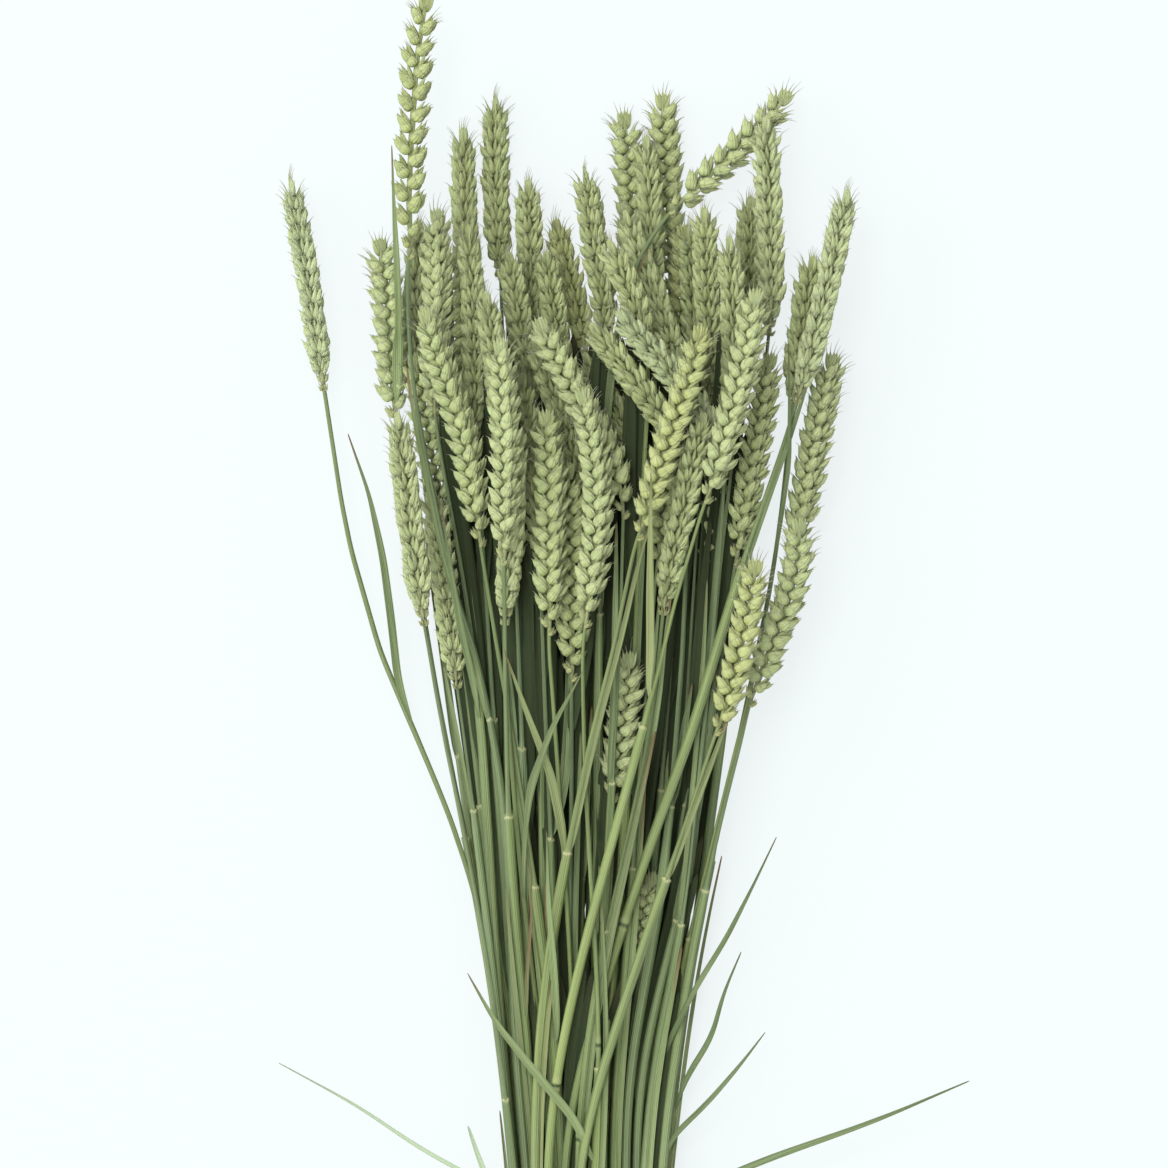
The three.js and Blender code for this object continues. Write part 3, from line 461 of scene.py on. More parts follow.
def make_ear(stalk, turn, rng, ripe, bleached, slim=1.0, pitch=3.4):
    """All husks and awns of one ear, bent along the stalk's course.

    The spikelets stand pitch mm apart, in one rank and the other by turns, each the table
    above by the ear's size there, with some chance in it. An ear that shows its feather
    side (face is the squared sine of its turn) has longer, narrower and more fanned husks."""
    course = stalk["path"][max(stalk["base"] - 1, 0):]
    tip = course[-1] + (course[-1] - course[-4]) / 3 * 0.2
    s, line = resample(np.concatenate([course, tip[None]]), 1.0)
    line = smooth(line, 2)
    t_vec, side, up = frames_along(line)
    c, d = math.cos(math.radians(turn)), math.sin(math.radians(turn))
    rank = side * c + up * d
    fan = -(up * c - side * d)
    total = s[-1]
    face = d * d
    slim = slim * (0.95 - 0.06 * face + 0.06 * rng.random())
    count = max(12, int(round((total - 8) / pitch)))
    k = np.arange(count)
    foot = 0.5 + (total - 10.0) * (k / count) ** 0.95
    size = ear_size(foot / total) * slim
    sign = np.where(k % 2 == 0, 1.0, -1.0)
    shape = SPIKELET[None] + np.zeros((count, 1, 1))
    wild = lambda spread_by: (rng.random(shape.shape[:2]) - 0.5) * 2 * spread_by
    u = shape[..., RANK] * size[:, None] * sign[:, None]
    v = shape[..., FAN] * size[:, None]
    along = foot[:, None] + shape[..., ALONG] * np.maximum(size, 0.5)[:, None]
    lean_out = shape[..., LEAN_OUT] * (1 - 0.34 * face) + wild(8.0)
    lean_u = np.tan(np.radians(lean_out)) * sign[:, None]
    lean_v = np.tan(np.radians(shape[..., LEAN_ASIDE] * (1 + 0.35 * face) + wild(9.0)))
    grow = (size[:, None] * (1 + wild(0.12))).reshape(-1)
    stretched = 1 + 0.16 * face + wild(0.13)
    length = (shape[..., LENGTH] * size[:, None] ** 0.85 * stretched).reshape(-1)

    # The top spikelet's five husks follow those of the ranks in each column.
    fans, one = TOP_FAN, np.ones(5)
    with_top = lambda ranks, top: np.concatenate([ranks.reshape(-1, *top.shape[1:]), top])
    vectors = lambda *parts: np.stack(parts, -1)
    base = with_top(vectors(u, v, along),
                    vectors(fans * 0.5, fans * 0.25, total - 9.6 + np.abs(fans) * 0.3))
    lean = with_top(vectors(lean_u, lean_v, np.ones_like(lean_u)),
                    vectors(fans * 0.16, fans * 0.05, one))
    outward = with_top(vectors(sign[:, None] * shape[..., BACK_RANK], shape[..., BACK_FAN], 0 * u),
                       vectors(np.sign(fans) * 0.3, one, 0 * fans))
    grow = with_top(grow, 0.8 * slim * one)
    length = with_top(length, 8.8 - np.abs(fans) * 0.8)
    drawn = with_top(shape[..., DRAWN], 0.8 * one)
    kind = with_top(shape[..., KIND], one)
    half = with_top(shape[..., HALF] * (1 - 0.2 * face), TOP_HALF) * grow
    thick = with_top(shape[..., THICK], TOP_THICK) * grow
    bow = with_top(shape[..., BOW], TOP_BOW) * grow
    grid, dirs, outs = husks(base, lean, length, half, thick, bow, outward, drawn)

    # Awns: short bristles all over, more on the feather side, and long ones near the tip.
    tips = grid[:, -1].mean(1)
    high = np.clip(tips[:, 2] / total, 0, 1)
    bodies = len(base)
    bristly = 0.45 + 0.6 * abs(d) + 0.3 * rng.random()
    awn = (0.6 + 1.9 * rng.random(bodies)) * (0.4 + 0.6 * kind) * bristly * np.minimum(grow, 1) \
        + 3.8 * np.clip(high - 0.66, 0, 1) / 0.34 * kind * (0.4 + rng.random(bodies))
    needles = awns(tips - dirs * 0.3, dirs, outs, awn)

    # The ear's own stem, a plain tube that the spikelets stand on.
    core_s = np.linspace(0.0, total - 7, 40)
    a = circle(8)
    core_r = 1.15 * np.clip(ear_size(core_s / total), 0.5, 1)[:, None] * slim
    core = np.stack([core_r * np.cos(a), -core_r * np.sin(a), core_s[:, None] + 0 * a], -1)[None]

    def bent(g):
        """A grid from the ear's straight frame onto its course."""
        flat = g.reshape(-1, 3)
        place = np.stack([np.interp(flat[:, 2], s, line[:, i]) for i in range(3)], 1)
        along_u = np.stack([np.interp(flat[:, 2], s, rank[:, i]) for i in range(3)], 1)
        along_v = np.stack([np.interp(flat[:, 2], s, fan[:, i]) for i in range(3)], 1)
        over = np.maximum(flat[:, 2] - total, 0)[:, None] * t_vec[-1]
        under = np.minimum(flat[:, 2], 0)[:, None] * t_vec[0]
        world = place + along_u * flat[:, :1] + along_v * flat[:, 1:2] + over + under
        world[:, 2] = np.maximum(world[:, 2], 0.05)
        return world.reshape(g.shape)

    tint = rng.random(bodies)
    pale = np.clip(1 - tips[:, 2] / 14, 0, 1)
    parts = []
    for g, value, hair in ((grid, tint, 0), (needles, tint, 1), (core, np.array([0.1]), 0.0)):
        shape_of = g.shape[:3]
        parts.append((shells(bent(g)), {
            "tint": spread(value, *shape_of),
            "ripe": spread(np.full(shape_of[0], ripe), *shape_of),
            "bleached": spread(np.full(shape_of[0], bleached), *shape_of),
            "hair": spread(np.full(shape_of[0], float(hair)), *shape_of),
            "pale": spread(pale if shape_of[0] == bodies else np.zeros(1), *shape_of)}))
    return join(parts)


# ---------------------------------------------------------------- the straw
# Where rings are added round a joint and round the collar, mm along from it.
JOINT_RINGS = (-2.6, -1.2, -0.6, 0, 0.6, 1.2, 2.6, 4.4)
COLLAR_RINGS = np.array([-2.4, -1.2, -0.4, 0.2, 0.5, 2.0])
STRAW_ROUND = 12


def make_straw(stalk, number, rng, ripe):
    """A tube with its leaf sheath's collar and the swollen joints; the cut end is hollow.

    Its radius is the solid's, times a bump of two bell curves at each joint and a lip at
    the collar, over which the straw is thinner. Its section is a circle that is squashed
    by slow waves of two, three and five to the round, so it looks dried."""
    last = min(stalk["base"] + 3, len(stalk["path"]) - 1)
    path, radius = stalk["path"][:last], stalk["radius"][:last].copy()
    radius[stalk["base"] - 2:] = radius[stalk["base"] - 3]
    s, line, r = resample(path, 4.0, radius)
    r = smooth(r, 1) * (0.79 + 0.18 * rng.random())
    collar = s[np.argmin(np.abs(line[:, 1] - stalk["path"][stalk["collar"], 1]))]
    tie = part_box("tie_cord")
    height = line[:, 1] - (tie[0].y + tie[1].y) / 2 / MM + TIE_HEIGHT
    joint_at = [*JOINTS.get(number, (130 + 70 * rng.random(),)), 25 + 70 * rng.random()]
    joint_s = [np.interp(j, height, s) for j in joint_at]
    extra = np.concatenate([[j + d for d in JOINT_RINGS] for j in joint_s])
    extra = np.concatenate([extra, collar + COLLAR_RINGS])
    at = np.unique(np.round(np.concatenate([s, extra[(extra > 1) & (extra < s[-1] - 1)]]), 2))
    line = np.stack([np.interp(at, s, line[:, i]) for i in range(3)], 1)
    r = np.interp(at, s, r)
    mark = sum(np.clip(1.15 - np.abs(at - j) / 0.9, 0, 1) for j in joint_s)
    swell = sum(np.exp(-((at - j - 1.6) / 1.7) ** 2)
                + 0.5 * np.exp(-((at - j + 1.6) / 1.0) ** 2) for j in joint_s)
    lip = np.exp(-((at - collar + 0.3) / 0.6) ** 2)
    below = np.clip((collar - at) / 0.8 + 0.5, 0, 1)
    r = r * (1 - 0.24 * (1 - below)) * (1 + 0.1 * swell - 0.06 * mark) + 0.22 * lip
    t, side, up = frames_along(line)
    a = (np.arange(STRAW_ROUND) / STRAW_ROUND - 0.25) * 2 * math.pi
    phase = (rng.random() * 6 + at / 70)[:, None]
    squash = 1 + 0.07 * np.sin(at / 90 + rng.random() * 6)[:, None] \
        + 0.06 * np.cos(3 * a + phase) + 0.035 * np.cos(5 * a - phase)
    jag = 1.9 * rng.random(STRAW_ROUND) - 0.6
    grid = line[:, None] + t[:, None] * (lip[:, None] * jag)[..., None] \
        + side[:, None] * (r[:, None] * squash * np.cos(a))[..., None] \
        + up[:, None] * (r[:, None] * (2 - squash) * np.sin(a))[..., None]
    inner = line[0] + (grid[0] - line[0]) * 0.7
    deep = line[6] + (grid[6] - line[6]) * 0.68
    grid = np.concatenate([deep[None], inner[None], grid])
    grid[..., 2] = np.maximum(grid[..., 2], 0.03)
    rings = len(grid)
    pad = lambda v: np.concatenate([[v[0], v[0]], v])[None]
    shape_of = (1, rings, STRAW_ROUND)
    top = np.clip((at - (at[-1] - 6)) / 6, 0, 1)
    return shells(grid[None]), {
        "joint": spread(pad(mark), *shape_of),
        "cream": spread(pad(np.clip(0.3 * swell + 0.8 * lip + 0.8 * top - mark, 0, 1)), *shape_of),
        "sheath": spread(pad(below), *shape_of),
        "ripe": spread(np.array([ripe]), *shape_of),
        "tint": spread(np.array([rng.random()]), *shape_of),
        "hue": spread(np.array([rng.random()]), *shape_of),
        "inside": spread(np.concatenate([[1, 1], np.zeros(rings - 2)])[None], *shape_of)}


# ---------------------------------------------------------------- the blades
# A blade's section, round its two faces: places across, in half widths, and the side.
ACROSS = np.array([-1, -0.55, 0, 0.55, 1, 1, 0.55, 0, -0.55, -1])[::-1]
FACE = np.array([1, 1, 1, 1, 1, -1, -1, -1, -1, -1])[::-1]
HALF_THICKNESS = 0.17


def make_blade(track, stalk, rng, ripe, fold=0.34, brown=0.0, opening=0.0, share=1.0,
               yellowed=0.0, pale=0.0, light=1.0, spacing=2.5):
    """A narrow blade: a V in section, 0.34 mm thick, twisting a little by a sine and ending
    in a dry point, to which it narrows by a square root. Its course and width are the
    solid's. It is narrow where it leaves the straw, and opening is how far up it stays so;
    fold is the height of its edges by half its width."""
    y, area, x, z = track.T
    line = smooth(np.stack([x, y, z], 1), 2)
    stretch = np.linalg.norm(np.gradient(line, axis=0), axis=1) / np.abs(np.gradient(line[:, 1]))
    half = smooth(area / 0.7 / 2 / stretch, 2)
    path = stalk["path"]
    course = lambda y: np.array([np.interp(y, path[:, 1], path[:, i]) for i in range(3)])
    gap_at = lambda p: np.linalg.norm(p - course(p[1]))
    if gap_at(line[0]) > gap_at(line[-1]):
        line, half = line[::-1], half[::-1]
    step = np.sign(line[4, 1] - line[0, 1])
    root = course(line[0, 1] - 6 * step)
    ahead = line[-1] + (line[-1] - line[-5]) / 4 * 1.2
    line = np.concatenate([root[None], line, ahead[None]])
    half = np.concatenate([[half[0]], half, [half[-1]]])
    s, line, half = resample(line, spacing, half)
    line = smooth(line, 1)
    f = s / s[-1]
    leaving = np.clip(s / 16, 0, 1) if opening == 0 else np.clip((f - opening) / 0.2 + 0.5, 0, 1)
    half = half * np.sqrt(np.clip((1 - f) / 0.3, 0, 1)) * (0.45 + 0.55 * leaving) * share + 0.12
    t, side, up = frames_along(line)
    turn = np.radians(14 * np.sin(f * 5 + rng.random() * 6) + 22 * (f ** 2) * (rng.random() - 0.5))
    c, d = np.cos(turn)[:, None], np.sin(turn)[:, None]
    wide, tall = side * c + up * d, up * c - side * d
    rise = fold * np.abs(ACROSS) ** 1.2
    skin = FACE * HALF_THICKNESS
    grid = line[:, None] + wide[:, None] * (half[:, None] * ACROSS)[..., None] \
        + tall[:, None] * (half[:, None] * (rise - 0.4 * fold) + skin)[..., None]
    grid[..., 2] = np.maximum(grid[..., 2], 0.04)
    shape_of = (1, len(grid), len(ACROSS))
    tip = 0.9 if rng.random() < 0.3 else 0.25
    dry = np.maximum((tip - pale) * np.clip((f - 0.86) / 0.12, 0, 1),
                     brown * np.clip(f * 1.6, 0, 1))
    return shells(grid[None]), {
        "dry": spread(dry[None], *shape_of),
        "ripe": spread(np.array([ripe + yellowed]), *shape_of),
        "pale": spread(np.array([pale]), *shape_of),
        "tint": spread(np.array([rng.random() * light]), *shape_of)}


def flag_leaf(stalk, rng):
    """Course of the folded uppermost blade: it rises from the collar beside its straw and
    parts from it slowly."""
    path = stalk["path"]
    start = path[stalk["collar"], 1]
    y = np.arange(start, min(start + 60 + 90 * rng.random(), path[stalk["base"], 1] + 10), 4.0)
    if stalk["collar"] == 0 or len(y) < 10:
        return None
    f = (y - y[0]) / (y[-1] - y[0])
    aside = rng.choice([-1, 1]) * (1.3 + 3.0 * rng.random() * f ** 1.5)
    x = np.interp(y, path[:, 1], path[:, 0]) + aside
    z = np.interp(y, path[:, 1], path[:, 2]) + 0.3 + 2.0 * f * (rng.random() - 0.3)
    area = np.full(len(y), (0.7 + 0.4 * rng.random()) * 1.4)
    return np.stack([y, area, x, np.maximum(z, 0.6)], 1)


def lower_leaf(stalk, rng):
    """Course of a dry, folded blade of a lower leaf, which lies along its straw from below
    the view up to the uppermost sheath."""
    path = stalk["path"]
    start = -290 + 130 * rng.random()
    y = np.arange(start, start + 130 + 110 * rng.random(), 4.0)
    f = (y - y[0]) / (y[-1] - y[0])
    aside = rng.choice([-1, 1]) * (1.4 + 2.6 * rng.random() * f)
    x = np.interp(y, path[:, 1], path[:, 0]) + aside
    z = np.interp(y, path[:, 1], path[:, 2]) + 0.9 + 1.2 * rng.random() * f
    area = np.full(len(y), (0.7 + 0.6 * rng.random()) * 1.4)
    return np.stack([y, area, x, z], 1)


def side_leaf(stalk):
    """Course of a short pale blade that leaves the bundle low on the left."""
    low, middle, high = -165.0, -130, -111.0
    y = np.arange(low, high, 3.0)
    x, z = (np.interp(low, stalk["path"][:, 1], stalk["path"][:, i]) for i in (0, 2))
    return np.stack([y, np.full(len(y), 1.5),
                     np.interp(y, [low, middle, high], [x, -57, -63.3]),
                     np.interp(y, [low, high], [z, z + 4])], 1)


def inner_leaf(stalk, rng, start, high):
    """Course of one of the dead lower leaves inside the bundle: it hugs its own straw,
    a little beside and below it."""
    path = stalk["path"]
    reach = 130 + 110 * rng.random()
    y = np.arange(start, min(start + reach, path[-1, 1] - 30, high), 4.0)
    if len(y) < 12:
        return None
    f = (y - y[0]) / (y[-1] - y[0])
    aside = rng.choice([-1, 1]) * (2.0 + 5.0 * rng.random()) * np.sin(f * 1.9)
    x = np.interp(y, path[:, 1], path[:, 0]) + aside
    z = np.interp(y, path[:, 1], path[:, 2]) - (2.2 + 4.0 * rng.random()) * np.clip(f * 4, 0, 1)
    inside = np.abs(x - AXIS_X) < 0.78 * np.interp(y, *BUNDLE_HALF)
    keep = int(np.argmin(inside)) if not inside.all() else len(y)
    area = np.full(len(y), (4.2 + 2.6 * rng.random()) * 0.7)
    return np.stack([y, area, x, np.maximum(z, 0.6)], 1)[:keep] if keep > 12 else None


# ---------------------------------------------------------------- finishes
def linear(code):
    """sRGB hex to linear RGBA."""
    rgb = [int(code[i:i + 2], 16) / 255 for i in (1, 3, 5)]
    return [c / 12.92 if c <= 0.04045 else ((c + 0.055) / 1.055) ** 2.4 for c in rgb] + [1.0]


def add(tree, kind, output=0, **given):
    """One node with its settings and links; gives one of its outputs.

    A keyword is a property of the node, an input's name, or i and an input's number. What
    is given is a plain value, a hex colour, or the output that feeds it."""
    node = tree.nodes.new(kind)
    for key, value in given.items():
        if key[0] == "i" and key[1:].isdigit():
            socket = node.inputs[int(key[1:])]
        elif key in node.inputs:
            socket = node.inputs[key]
        else:
            setattr(node, key, value)
            continue
        if isinstance(value, bpy.types.NodeSocket):
            tree.links.new(value, socket)
        else:
            socket.default_value = linear(value) if isinstance(value, str) else value
    return node.outputs[output]


def new_finish(name, roughness, specular):
    """A material, its node tree and its shader."""
    material = bpy.data.materials.new(name)
    material.use_nodes = True
    tree = material.node_tree
    shader = tree.nodes["Principled BSDF"]
    shader.inputs["Roughness"].default_value = roughness
    shader.inputs["Specular IOR Level"].default_value = specular
    return material, tree, shader


def coated(tree, body, coats):
    """A colour under coats of others. A coat is a factor, the power it is raised to, its
    share and its colour, and it hides what is below by share times the raised factor."""
    for factor, power, share, colour in coats:
        if power != 1:
            factor = add(tree, "ShaderNodeMath", operation="POWER", i0=factor, i1=power)
        if share != 1:
            factor = add(tree, "ShaderNodeMath", operation="MULTIPLY", i0=factor, i1=share)
        body = add(tree, "ShaderNodeMix", 2, data_type="RGBA", i0=factor, i6=body, i7=colour)
    return body


def finished(tree, shader, body, relief, depth_mm):
    """Gives a shader its colour, and a relief too fine to be mesh: 1 is depth_mm high."""
    bump = add(tree, "ShaderNodeBump", Strength=1.0, Distance=depth_mm * MM, Height=relief)
    tree.links.new(body, shader.inputs["Base Color"])
    tree.links.new(bump, shader.inputs["Normal"])


def stripes(tree, count):
    """1 on the veins that run along a piece and 0 between, by a cosine of the way round;
    and the way along."""
    uv = add(tree, "ShaderNodeUVMap", uv_map="UVMap")
    around = add(tree, "ShaderNodeSeparateXYZ", "X", Vector=uv)
    angle = add(tree, "ShaderNodeMath", operation="MULTIPLY", i0=around, i1=count * 2 * math.pi)
    wave = add(tree, "ShaderNodeMath", operation="COSINE", i0=angle)
    veins = add(tree, "ShaderNodeMath", operation="MULTIPLY_ADD", i0=wave, i1=0.5, i2=0.5)
    return veins, around.node.outputs["Y"]


def cloudy(tree, size_mm):
    """Soft noise whose lumps are size_mm across, on object coordinates."""
    place = add(tree, "ShaderNodeTexCoord", "Object")
    return add(tree, "ShaderNodeTexNoise", "Fac", Vector=place, Scale=1 / (size_mm * MM),
               Detail=3.0)


def streaks(tree, across, along):
    """Soft streaks that run along a piece: noise on its UV, stretched lengthwise, with its
    contrast raised 2.6 times about the middle, and different on every piece."""
    tint = add(tree, "ShaderNodeAttribute", "Fac", attribute_name="tint")
    uv = add(tree, "ShaderNodeUVMap", uv_map="UVMap")
    wide = add(tree, "ShaderNodeVectorMath", operation="MULTIPLY", i0=uv, i1=(across, along, 1))
    own = add(tree, "ShaderNodeMath", operation="MULTIPLY", i0=tint, i1=57.0)
    shift = add(tree, "ShaderNodeCombineXYZ", Z=own)
    place = add(tree, "ShaderNodeVectorMath", operation="ADD", i0=wide, i1=shift)
    noise = add(tree, "ShaderNodeTexNoise", "Fac", Vector=place, Scale=1.0, Detail=4.0,
                Roughness=0.6)
    return add(tree, "ShaderNodeMath", operation="MULTIPLY_ADD", use_clamp=True,
               i0=noise, i1=2.6, i2=0.5 - 2.6 / 2)


def husk_finish():
    """Dry wheat husk, grown: papery, matt, ribbed lengthwise, and it lets some light
    through; greener where it is thick, paler at the tip and on the ribs, yellow where the
    ear has begun to turn. Each husk's foot is darker: painted shade where the husk below
    overlaps it, partly the husk's own greener colour there. The ribs are drawn coarser
    than they are, so that they show."""
    material, tree, shader = new_finish("dry_wheat_husk", 0.62, 0.22)
    shader.inputs["Subsurface Weight"].default_value = 0.4
    shader.inputs["Subsurface Radius"].default_value = (1.0, 1.0, 0.6)
    shader.inputs["Subsurface Scale"].default_value = 1.6 * MM
    tint, ripe, bleached, pale, hair = (
        add(tree, "ShaderNodeAttribute", "Fac", attribute_name=name)
        for name in ("tint", "ripe", "bleached", "pale", "hair"))
    veins, along = stripes(tree, 9)
    margin, _ = stripes(tree, 2)
    fine = streaks(tree, 26, 1.5)
    patches = add(tree, "ShaderNodeMath", operation="ADD", i0=cloudy(tree, 9), i1=0.2)
    turned = add(tree, "ShaderNodeMath", operation="MULTIPLY", i0=ripe, i1=patches)
    # 1 at each husk's foot, fading out over its lowest sixth: the dark coat it carries is painted
    # shade where the husk below overlaps it, partly the husk's own greener colour there
    foot = add(tree, "ShaderNodeMath", operation="MULTIPLY_ADD", use_clamp=True,
               i0=along, i1=-6.0, i2=1.0)
    body = coated(tree, "#596a34", [(tint, 1, 1, "#86934f")])
    body = coated(tree, body, [
        (along, 1.3, 1, coated(tree, "#8b975e", [(tint, 1, 1, "#a4ad7d")])),
        (margin, 3, 0.75, "#b0b78b"),
        (veins, 1, 0.34, "#b0b98a"),
        (fine, 1, 0.5, "#b6bc90"),
        (turned, 1, 1, coated(tree, "#9e9b4c", [(along, 1, 1, "#bdb87c")])),
        (bleached, 1, 1, "#b9c49f"),
        # painted shade at each husk's foot, partly its own greener colour
        (foot, 1, 0.6, "#46541f"),
        (pale, 1, 0.7, "#aaa670"),
        (cloudy(tree, 1.0), 1, 0.42, "#4c5c2a"),
        (hair, 1, 1, "#bdbf92")])
    relief = add(tree, "ShaderNodeMath", operation="ADD", i0=veins, i1=fine)
    finished(tree, shader, body, relief, 0.25)
    return material


def straw_finish():
    """Dried green straw in its leaf sheath, grown: waxy and smooth with fine lengthwise
    ribs and darker streaks, bluish under the ear, yellower on the sheath, with dark joints
    and cream rims."""
    material, tree, shader = new_finish("dried_green_straw", 0.45, 0.35)
    tint, hue, sheath, ripe, cream, joint, inside = (
        add(tree, "ShaderNodeAttribute", "Fac", attribute_name=name)
        for name in ("tint", "hue", "sheath", "ripe", "cream", "joint", "inside"))
    ribs, _ = stripes(tree, 15)
    fine = streaks(tree, 19, 6)
    broad = streaks(tree, 5, 3)
    cool = add(tree, "ShaderNodeMath", operation="SUBTRACT", i0=1.0, i1=hue)
    body = coated(tree, "#304730", [(tint, 1, 1, "#6b7c52")])
    body = coated(tree, body, [
        (sheath, 1, 1, coated(tree, "#3b522a", [(tint, 1, 1, "#7f904c")])),
        (hue, 3, 0.9, "#869445"),
        (cool, 3, 0.7, "#64795f"),
        (ripe, 1, 0.5, "#8f9253"),
        (broad, 1, 0.85, "#31421f"),
        (fine, 1, 0.5, "#98a376"),
        (ribs, 1, 0.3, "#3a4c2b"),
        (cloudy(tree, 25), 1, 0.35, "#465832"),
        (cream, 1, 0.75, "#adab7f"),
        (joint, 1, 1, "#2c3c20"),
        (inside, 1, 1, "#b8ae7c")])
    relief = add(tree, "ShaderNodeMath", operation="SUBTRACT", i0=fine, i1=ribs)
    finished(tree, shader, body, relief, 0.12)
    return material


def blade_finish():
    """Dried leaf blade, grown: thin, matt, ribbed, green with a dry brown point."""
    material, tree, shader = new_finish("dried_leaf_blade", 0.55, 0.3)
    tint, ripe, pale, dry = (
        add(tree, "ShaderNodeAttribute", "Fac", attribute_name=name)
        for name in ("tint", "ripe", "pale", "dry"))
    ribs, _ = stripes(tree, 14)
    body = coated(tree, "#3d5431", [
        (tint, 1, 1, "#6f8152"),
        (ripe, 1, 0.6, "#8f8550"),
        (streaks(tree, 18, 4), 1, 0.5, "#929c72"),
        (ribs, 1, 0.3, "#37482a"),
        (pale, 1, 1, "#a3b498"),
        (dry, 1, 1, "#755c40")])
    finished(tree, shader, body, ribs, 0.1)
    return material


def old_leaf_painted_shade_finish():
    """Dead lower leaves inside the bundle, grown: dull and dark olive, browner at the
    point. Their near-black colour is painted shade, for the shade deep inside the bundle."""
    material, tree, shader = new_finish("dead_inner_leaf_painted_shade", 0.75, 0.15)
    tint, dry = (
        add(tree, "ShaderNodeAttribute", "Fac", attribute_name=name) for name in ("tint", "dry"))
    fine = streaks(tree, 18, 4)
    # near-black colours: painted shade deep inside the bundle
    body = coated(tree, "#19220f", [
        (tint, 1, 1, "#2c3620"),
        (fine, 1, 0.4, "#3c452a"),
        (dry, 1, 0.7, "#37301f")])
    finished(tree, shader, body, fine, 0.1)
    return material


def cord_finish():
    """Natural jute cord, twisted: dull, hairy, two strands laid at a slant, by a sine of
    the way along and round. The grooves between the strands are painted darker, as painted
    shade, and their crests paler."""
    material, tree, shader = new_finish("jute_cord", 0.9, 0.15)
    uv = add(tree, "ShaderNodeUVMap", uv_map="UVMap")
    around = add(tree, "ShaderNodeSeparateXYZ", "X", Vector=uv)
    strand = add(tree, "ShaderNodeMath", operation="MULTIPLY", i0=around, i1=4 * math.pi)
    slant = add(tree, "ShaderNodeMath", operation="MULTIPLY_ADD",
                i0=around.node.outputs["Y"], i1=900.0, i2=strand)
    wave = add(tree, "ShaderNodeMath", operation="SINE", i0=slant)
    lay = add(tree, "ShaderNodeMath", operation="MULTIPLY_ADD", i0=wave, i1=0.5, i2=0.5)
    # painted shade: dark in the grooves between the strands, pale on their crests
    body = coated(tree, "#84714d", [
        (lay, 1, 1, "#bcae8a"),
        (cloudy(tree, 1.2), 1, 0.5, "#9b8b66")])
    finished(tree, shader, body, lay, 0.4)
    return material


# ---------------------------------------------------------------- the cord
def make_cord():
    """Three turns of round cord wound side by side over the outline of the CAD ring.

    The ring's reach in each direction gives its outline, as reach along the direction and
    the slope of the reach across it; the cord's middle line is that, a radius further in,
    while it climbs from one edge of the ring to the other."""
    places, _ = read_mesh("tie_cord")
    low, high = places.min(0), places.max(0)
    centre = (low + high) / 2
    angle = np.linspace(0, CORD_TURNS * 2 * math.pi, 300)
    flat = places - centre
    outline = []
    for a in np.linspace(0, 2 * math.pi, 100, endpoint=False):
        n = np.array([math.cos(a), math.sin(a)])
        outline.append((flat[:, 0] * n[0] + flat[:, 2] * n[1]).max())
    all_round = np.linspace(0, 2 * math.pi, 101)
    reach = np.interp(angle % (2 * math.pi), all_round, outline + outline[:1])
    slope = np.gradient(reach, angle)
    r = CORD_RADIUS
    reach = reach - r * 1.02
    x = centre[0] + reach * np.cos(angle) - slope * np.sin(angle)
    z = centre[2] + reach * np.sin(angle) + slope * np.cos(angle)
    y = np.linspace(low[1] + r, high[1] - r, len(angle))
    line = smooth(np.stack([x, y, z], 1), 1)
    line[:, 2] = np.maximum(line[:, 2], r * 0.9)
    t = np.gradient(line, axis=0)
    t /= np.linalg.norm(t, axis=1, keepdims=True)
    side = np.cross(t, [0, 1.0, 0])
    side /= np.linalg.norm(side, axis=1, keepdims=True)
    up = np.cross(side, t)
    a = circle(12)
    grid = line[:, None] + side[:, None] * (r * np.cos(a))[:, None] \
        + up[:, None] * (r * np.sin(a))[:, None]
    grid[..., 2] = np.maximum(grid[..., 2], 0.0)
    make_piece("tie_cord_wound", shells(grid[None]), {}, cord_finish(), "tie_cord")


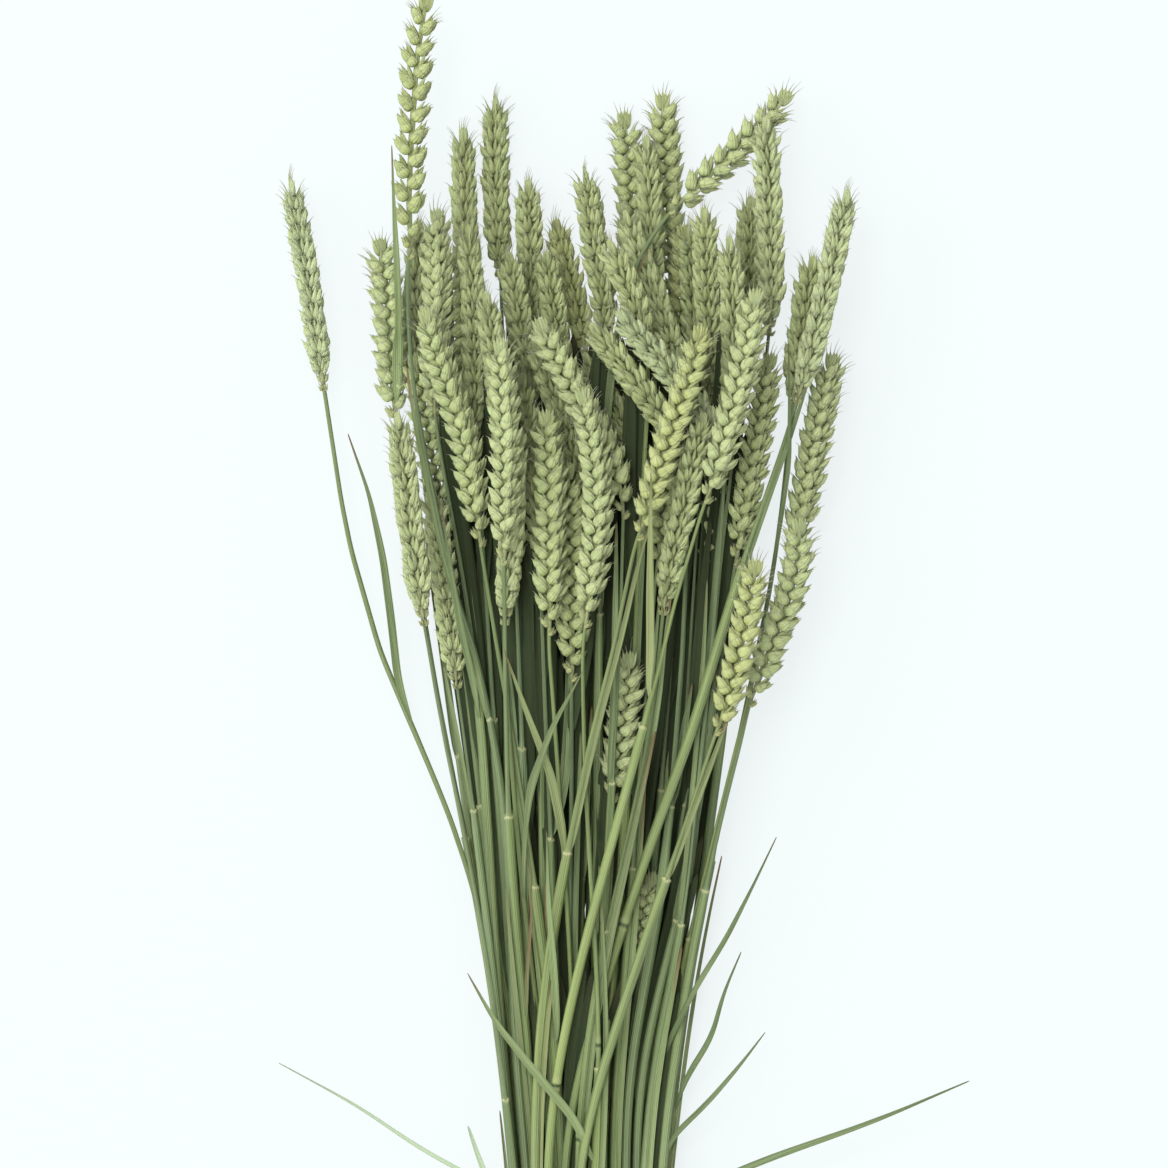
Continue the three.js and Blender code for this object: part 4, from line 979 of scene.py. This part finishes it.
# ---------------------------------------------------------------- dressing the bundle
# old_leaf is the near-black finish of the dead inner leaves, which is painted shade
husk, straw, leaf, old_leaf = husk_finish(), straw_finish(), blade_finish(), old_leaf_painted_shade_finish()
for number, node in enumerate(STALKS, 1):
    rng = np.random.default_rng(1000 + number)
    stalk = read_stalk(node)
    ripe = RIPE[SLOTS[node]] + 0.1 * rng.random()
    bleached = PALEST.get(number, BLEACHED[SLOTS[node]])
    make_piece(f"{node}_straw", *make_straw(stalk, number, rng, ripe), straw, node)
    ear = make_ear(stalk, TURNS[number - 1], rng, ripe, bleached, *EARS.get(number, ()))
    make_piece(f"{node}_ear", *ear, husk, node)
    look = LOOKS.get(number, {"fold": 1.0} if number in FOLDED else {})
    for n, track in enumerate(stalk["blades"], 1):
        blade = make_blade(track, stalk, rng, ripe, **look)
        make_piece(f"{node}_blade_{n}", *blade, leaf, node)
    if number == 20:
        blade = make_blade(side_leaf(stalk), stalk, rng, 0.1, pale=0.7)
        make_piece(f"{node}_side_leaf", *blade, leaf, node)
    track = flag_leaf(stalk, rng) if not stalk["blades"] else None
    if track is not None:
        make_piece(f"{node}_flag_leaf", *make_blade(track, stalk, rng, ripe, 0.8), leaf, node)
    if rng.random() < 0.6 and number != 1:
        lower = make_blade(lower_leaf(stalk, rng), stalk, rng, ripe + 0.3 * rng.random(), 0.8)
        make_piece(f"{node}_lower_leaf", *lower, leaf, node)
    depth = stalk["path"][: stalk["base"], 2].mean()
    if depth < OLD_LEAVES_UNDER and number != 1:
        starts, high = DEEP_LEAVES if depth < DEEP_UNDER else LOW_LEAVES
        tracks = [inner_leaf(stalk, rng, start + 100 * rng.random(), high) for start in starts]
        leaves = [make_blade(t, stalk, rng, 0.3, spacing=5.0) for t in tracks if t is not None]
        if leaves:
            make_piece(f"{node}_old_leaves", *join(leaves), old_leaf, node)
make_cord()


# ---------------------------------------------------------------- floor, light, camera
def make_stage():
    """A plain white table that glows a little, a hair below the part."""
    mesh = bpy.data.meshes.new("floor")
    reach = 4
    corners = [(-reach, -reach, 0), (reach, -reach, 0), (reach, reach, 0), (-reach, reach, 0)]
    mesh.from_pydata(corners, [], [(0, 1, 2, 3)])
    floor = bpy.data.objects.new("floor", mesh)
    bpy.context.scene.collection.objects.link(floor)
    floor.location.z = -0.0004
    material, tree, shader = new_finish("white_light_table", 0.9, 0.0)
    shader.inputs["Base Color"].default_value = linear("#505353")
    shader.inputs["Emission Color"].default_value = linear("#f8fefe")
    shader.inputs["Emission Strength"].default_value = 0.82
    mesh.materials.append(material)
    floor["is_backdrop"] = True


def make_light(name, place, aim, size, watts):
    """A square softbox, a touch warmer than the light from all round."""
    light = bpy.data.lights.new(name, "AREA")
    light.size = size
    light.energy = watts
    light.color = (1.0, 1.0, 0.98)
    lamp = bpy.data.objects.new(name, light)
    lamp.location = place
    away = np.array(place) - np.array(aim)
    lamp.rotation_euler = Vector(away).to_track_quat("Z", "Y").to_euler()
    bpy.context.scene.collection.objects.link(lamp)


def make_dome(mean, left):
    """Light from all round, stronger from the left: mean - left x for a direction's x."""
    world = bpy.data.worlds.new("studio")
    world.use_nodes = True
    tree = world.node_tree
    background = tree.nodes["Background"]
    background.inputs[0].default_value = (0.95, 0.98, 1.0, 1)
    direction = add(tree, "ShaderNodeTexCoord", "Generated")
    x = add(tree, "ShaderNodeSeparateXYZ", "X", Vector=direction)
    strength = add(tree, "ShaderNodeMath", operation="MULTIPLY_ADD", i0=x, i1=-left, i2=mean)
    tree.links.new(strength, background.inputs[1])
    bpy.context.scene.world = world


make_stage()
make_light("softbox_left", place=(-2.4, 0.8, 3.4), aim=(0, 0.05, 0), size=1.4, watts=35)
make_light("softbox_top", place=(-0.5, 0.7, 3.2), aim=(0, 0.2, 0), size=1.0, watts=76)
make_dome(mean=1.45, left=1.0)
bpy.context.scene.view_settings.view_transform = "Standard"

# Straight down; the frame is 467 mm wide at half the bundle's height.
FRAME_WIDTH = 1168 * 0.4 * MM
AIM = (-0.01606, 0.1030, 0.035)
DISTANCE = 3.4
SENSOR = 36
camera_data = bpy.data.cameras.new("camera")
camera_data.sensor_width = SENSOR
camera_data.clip_end = 20
camera_data.lens = SENSOR * DISTANCE / FRAME_WIDTH
camera = bpy.data.objects.new("camera", camera_data)
camera.location = (AIM[0], AIM[1], AIM[2] + DISTANCE)
bpy.context.scene.collection.objects.link(camera)
bpy.context.scene.camera = camera

low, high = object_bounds()
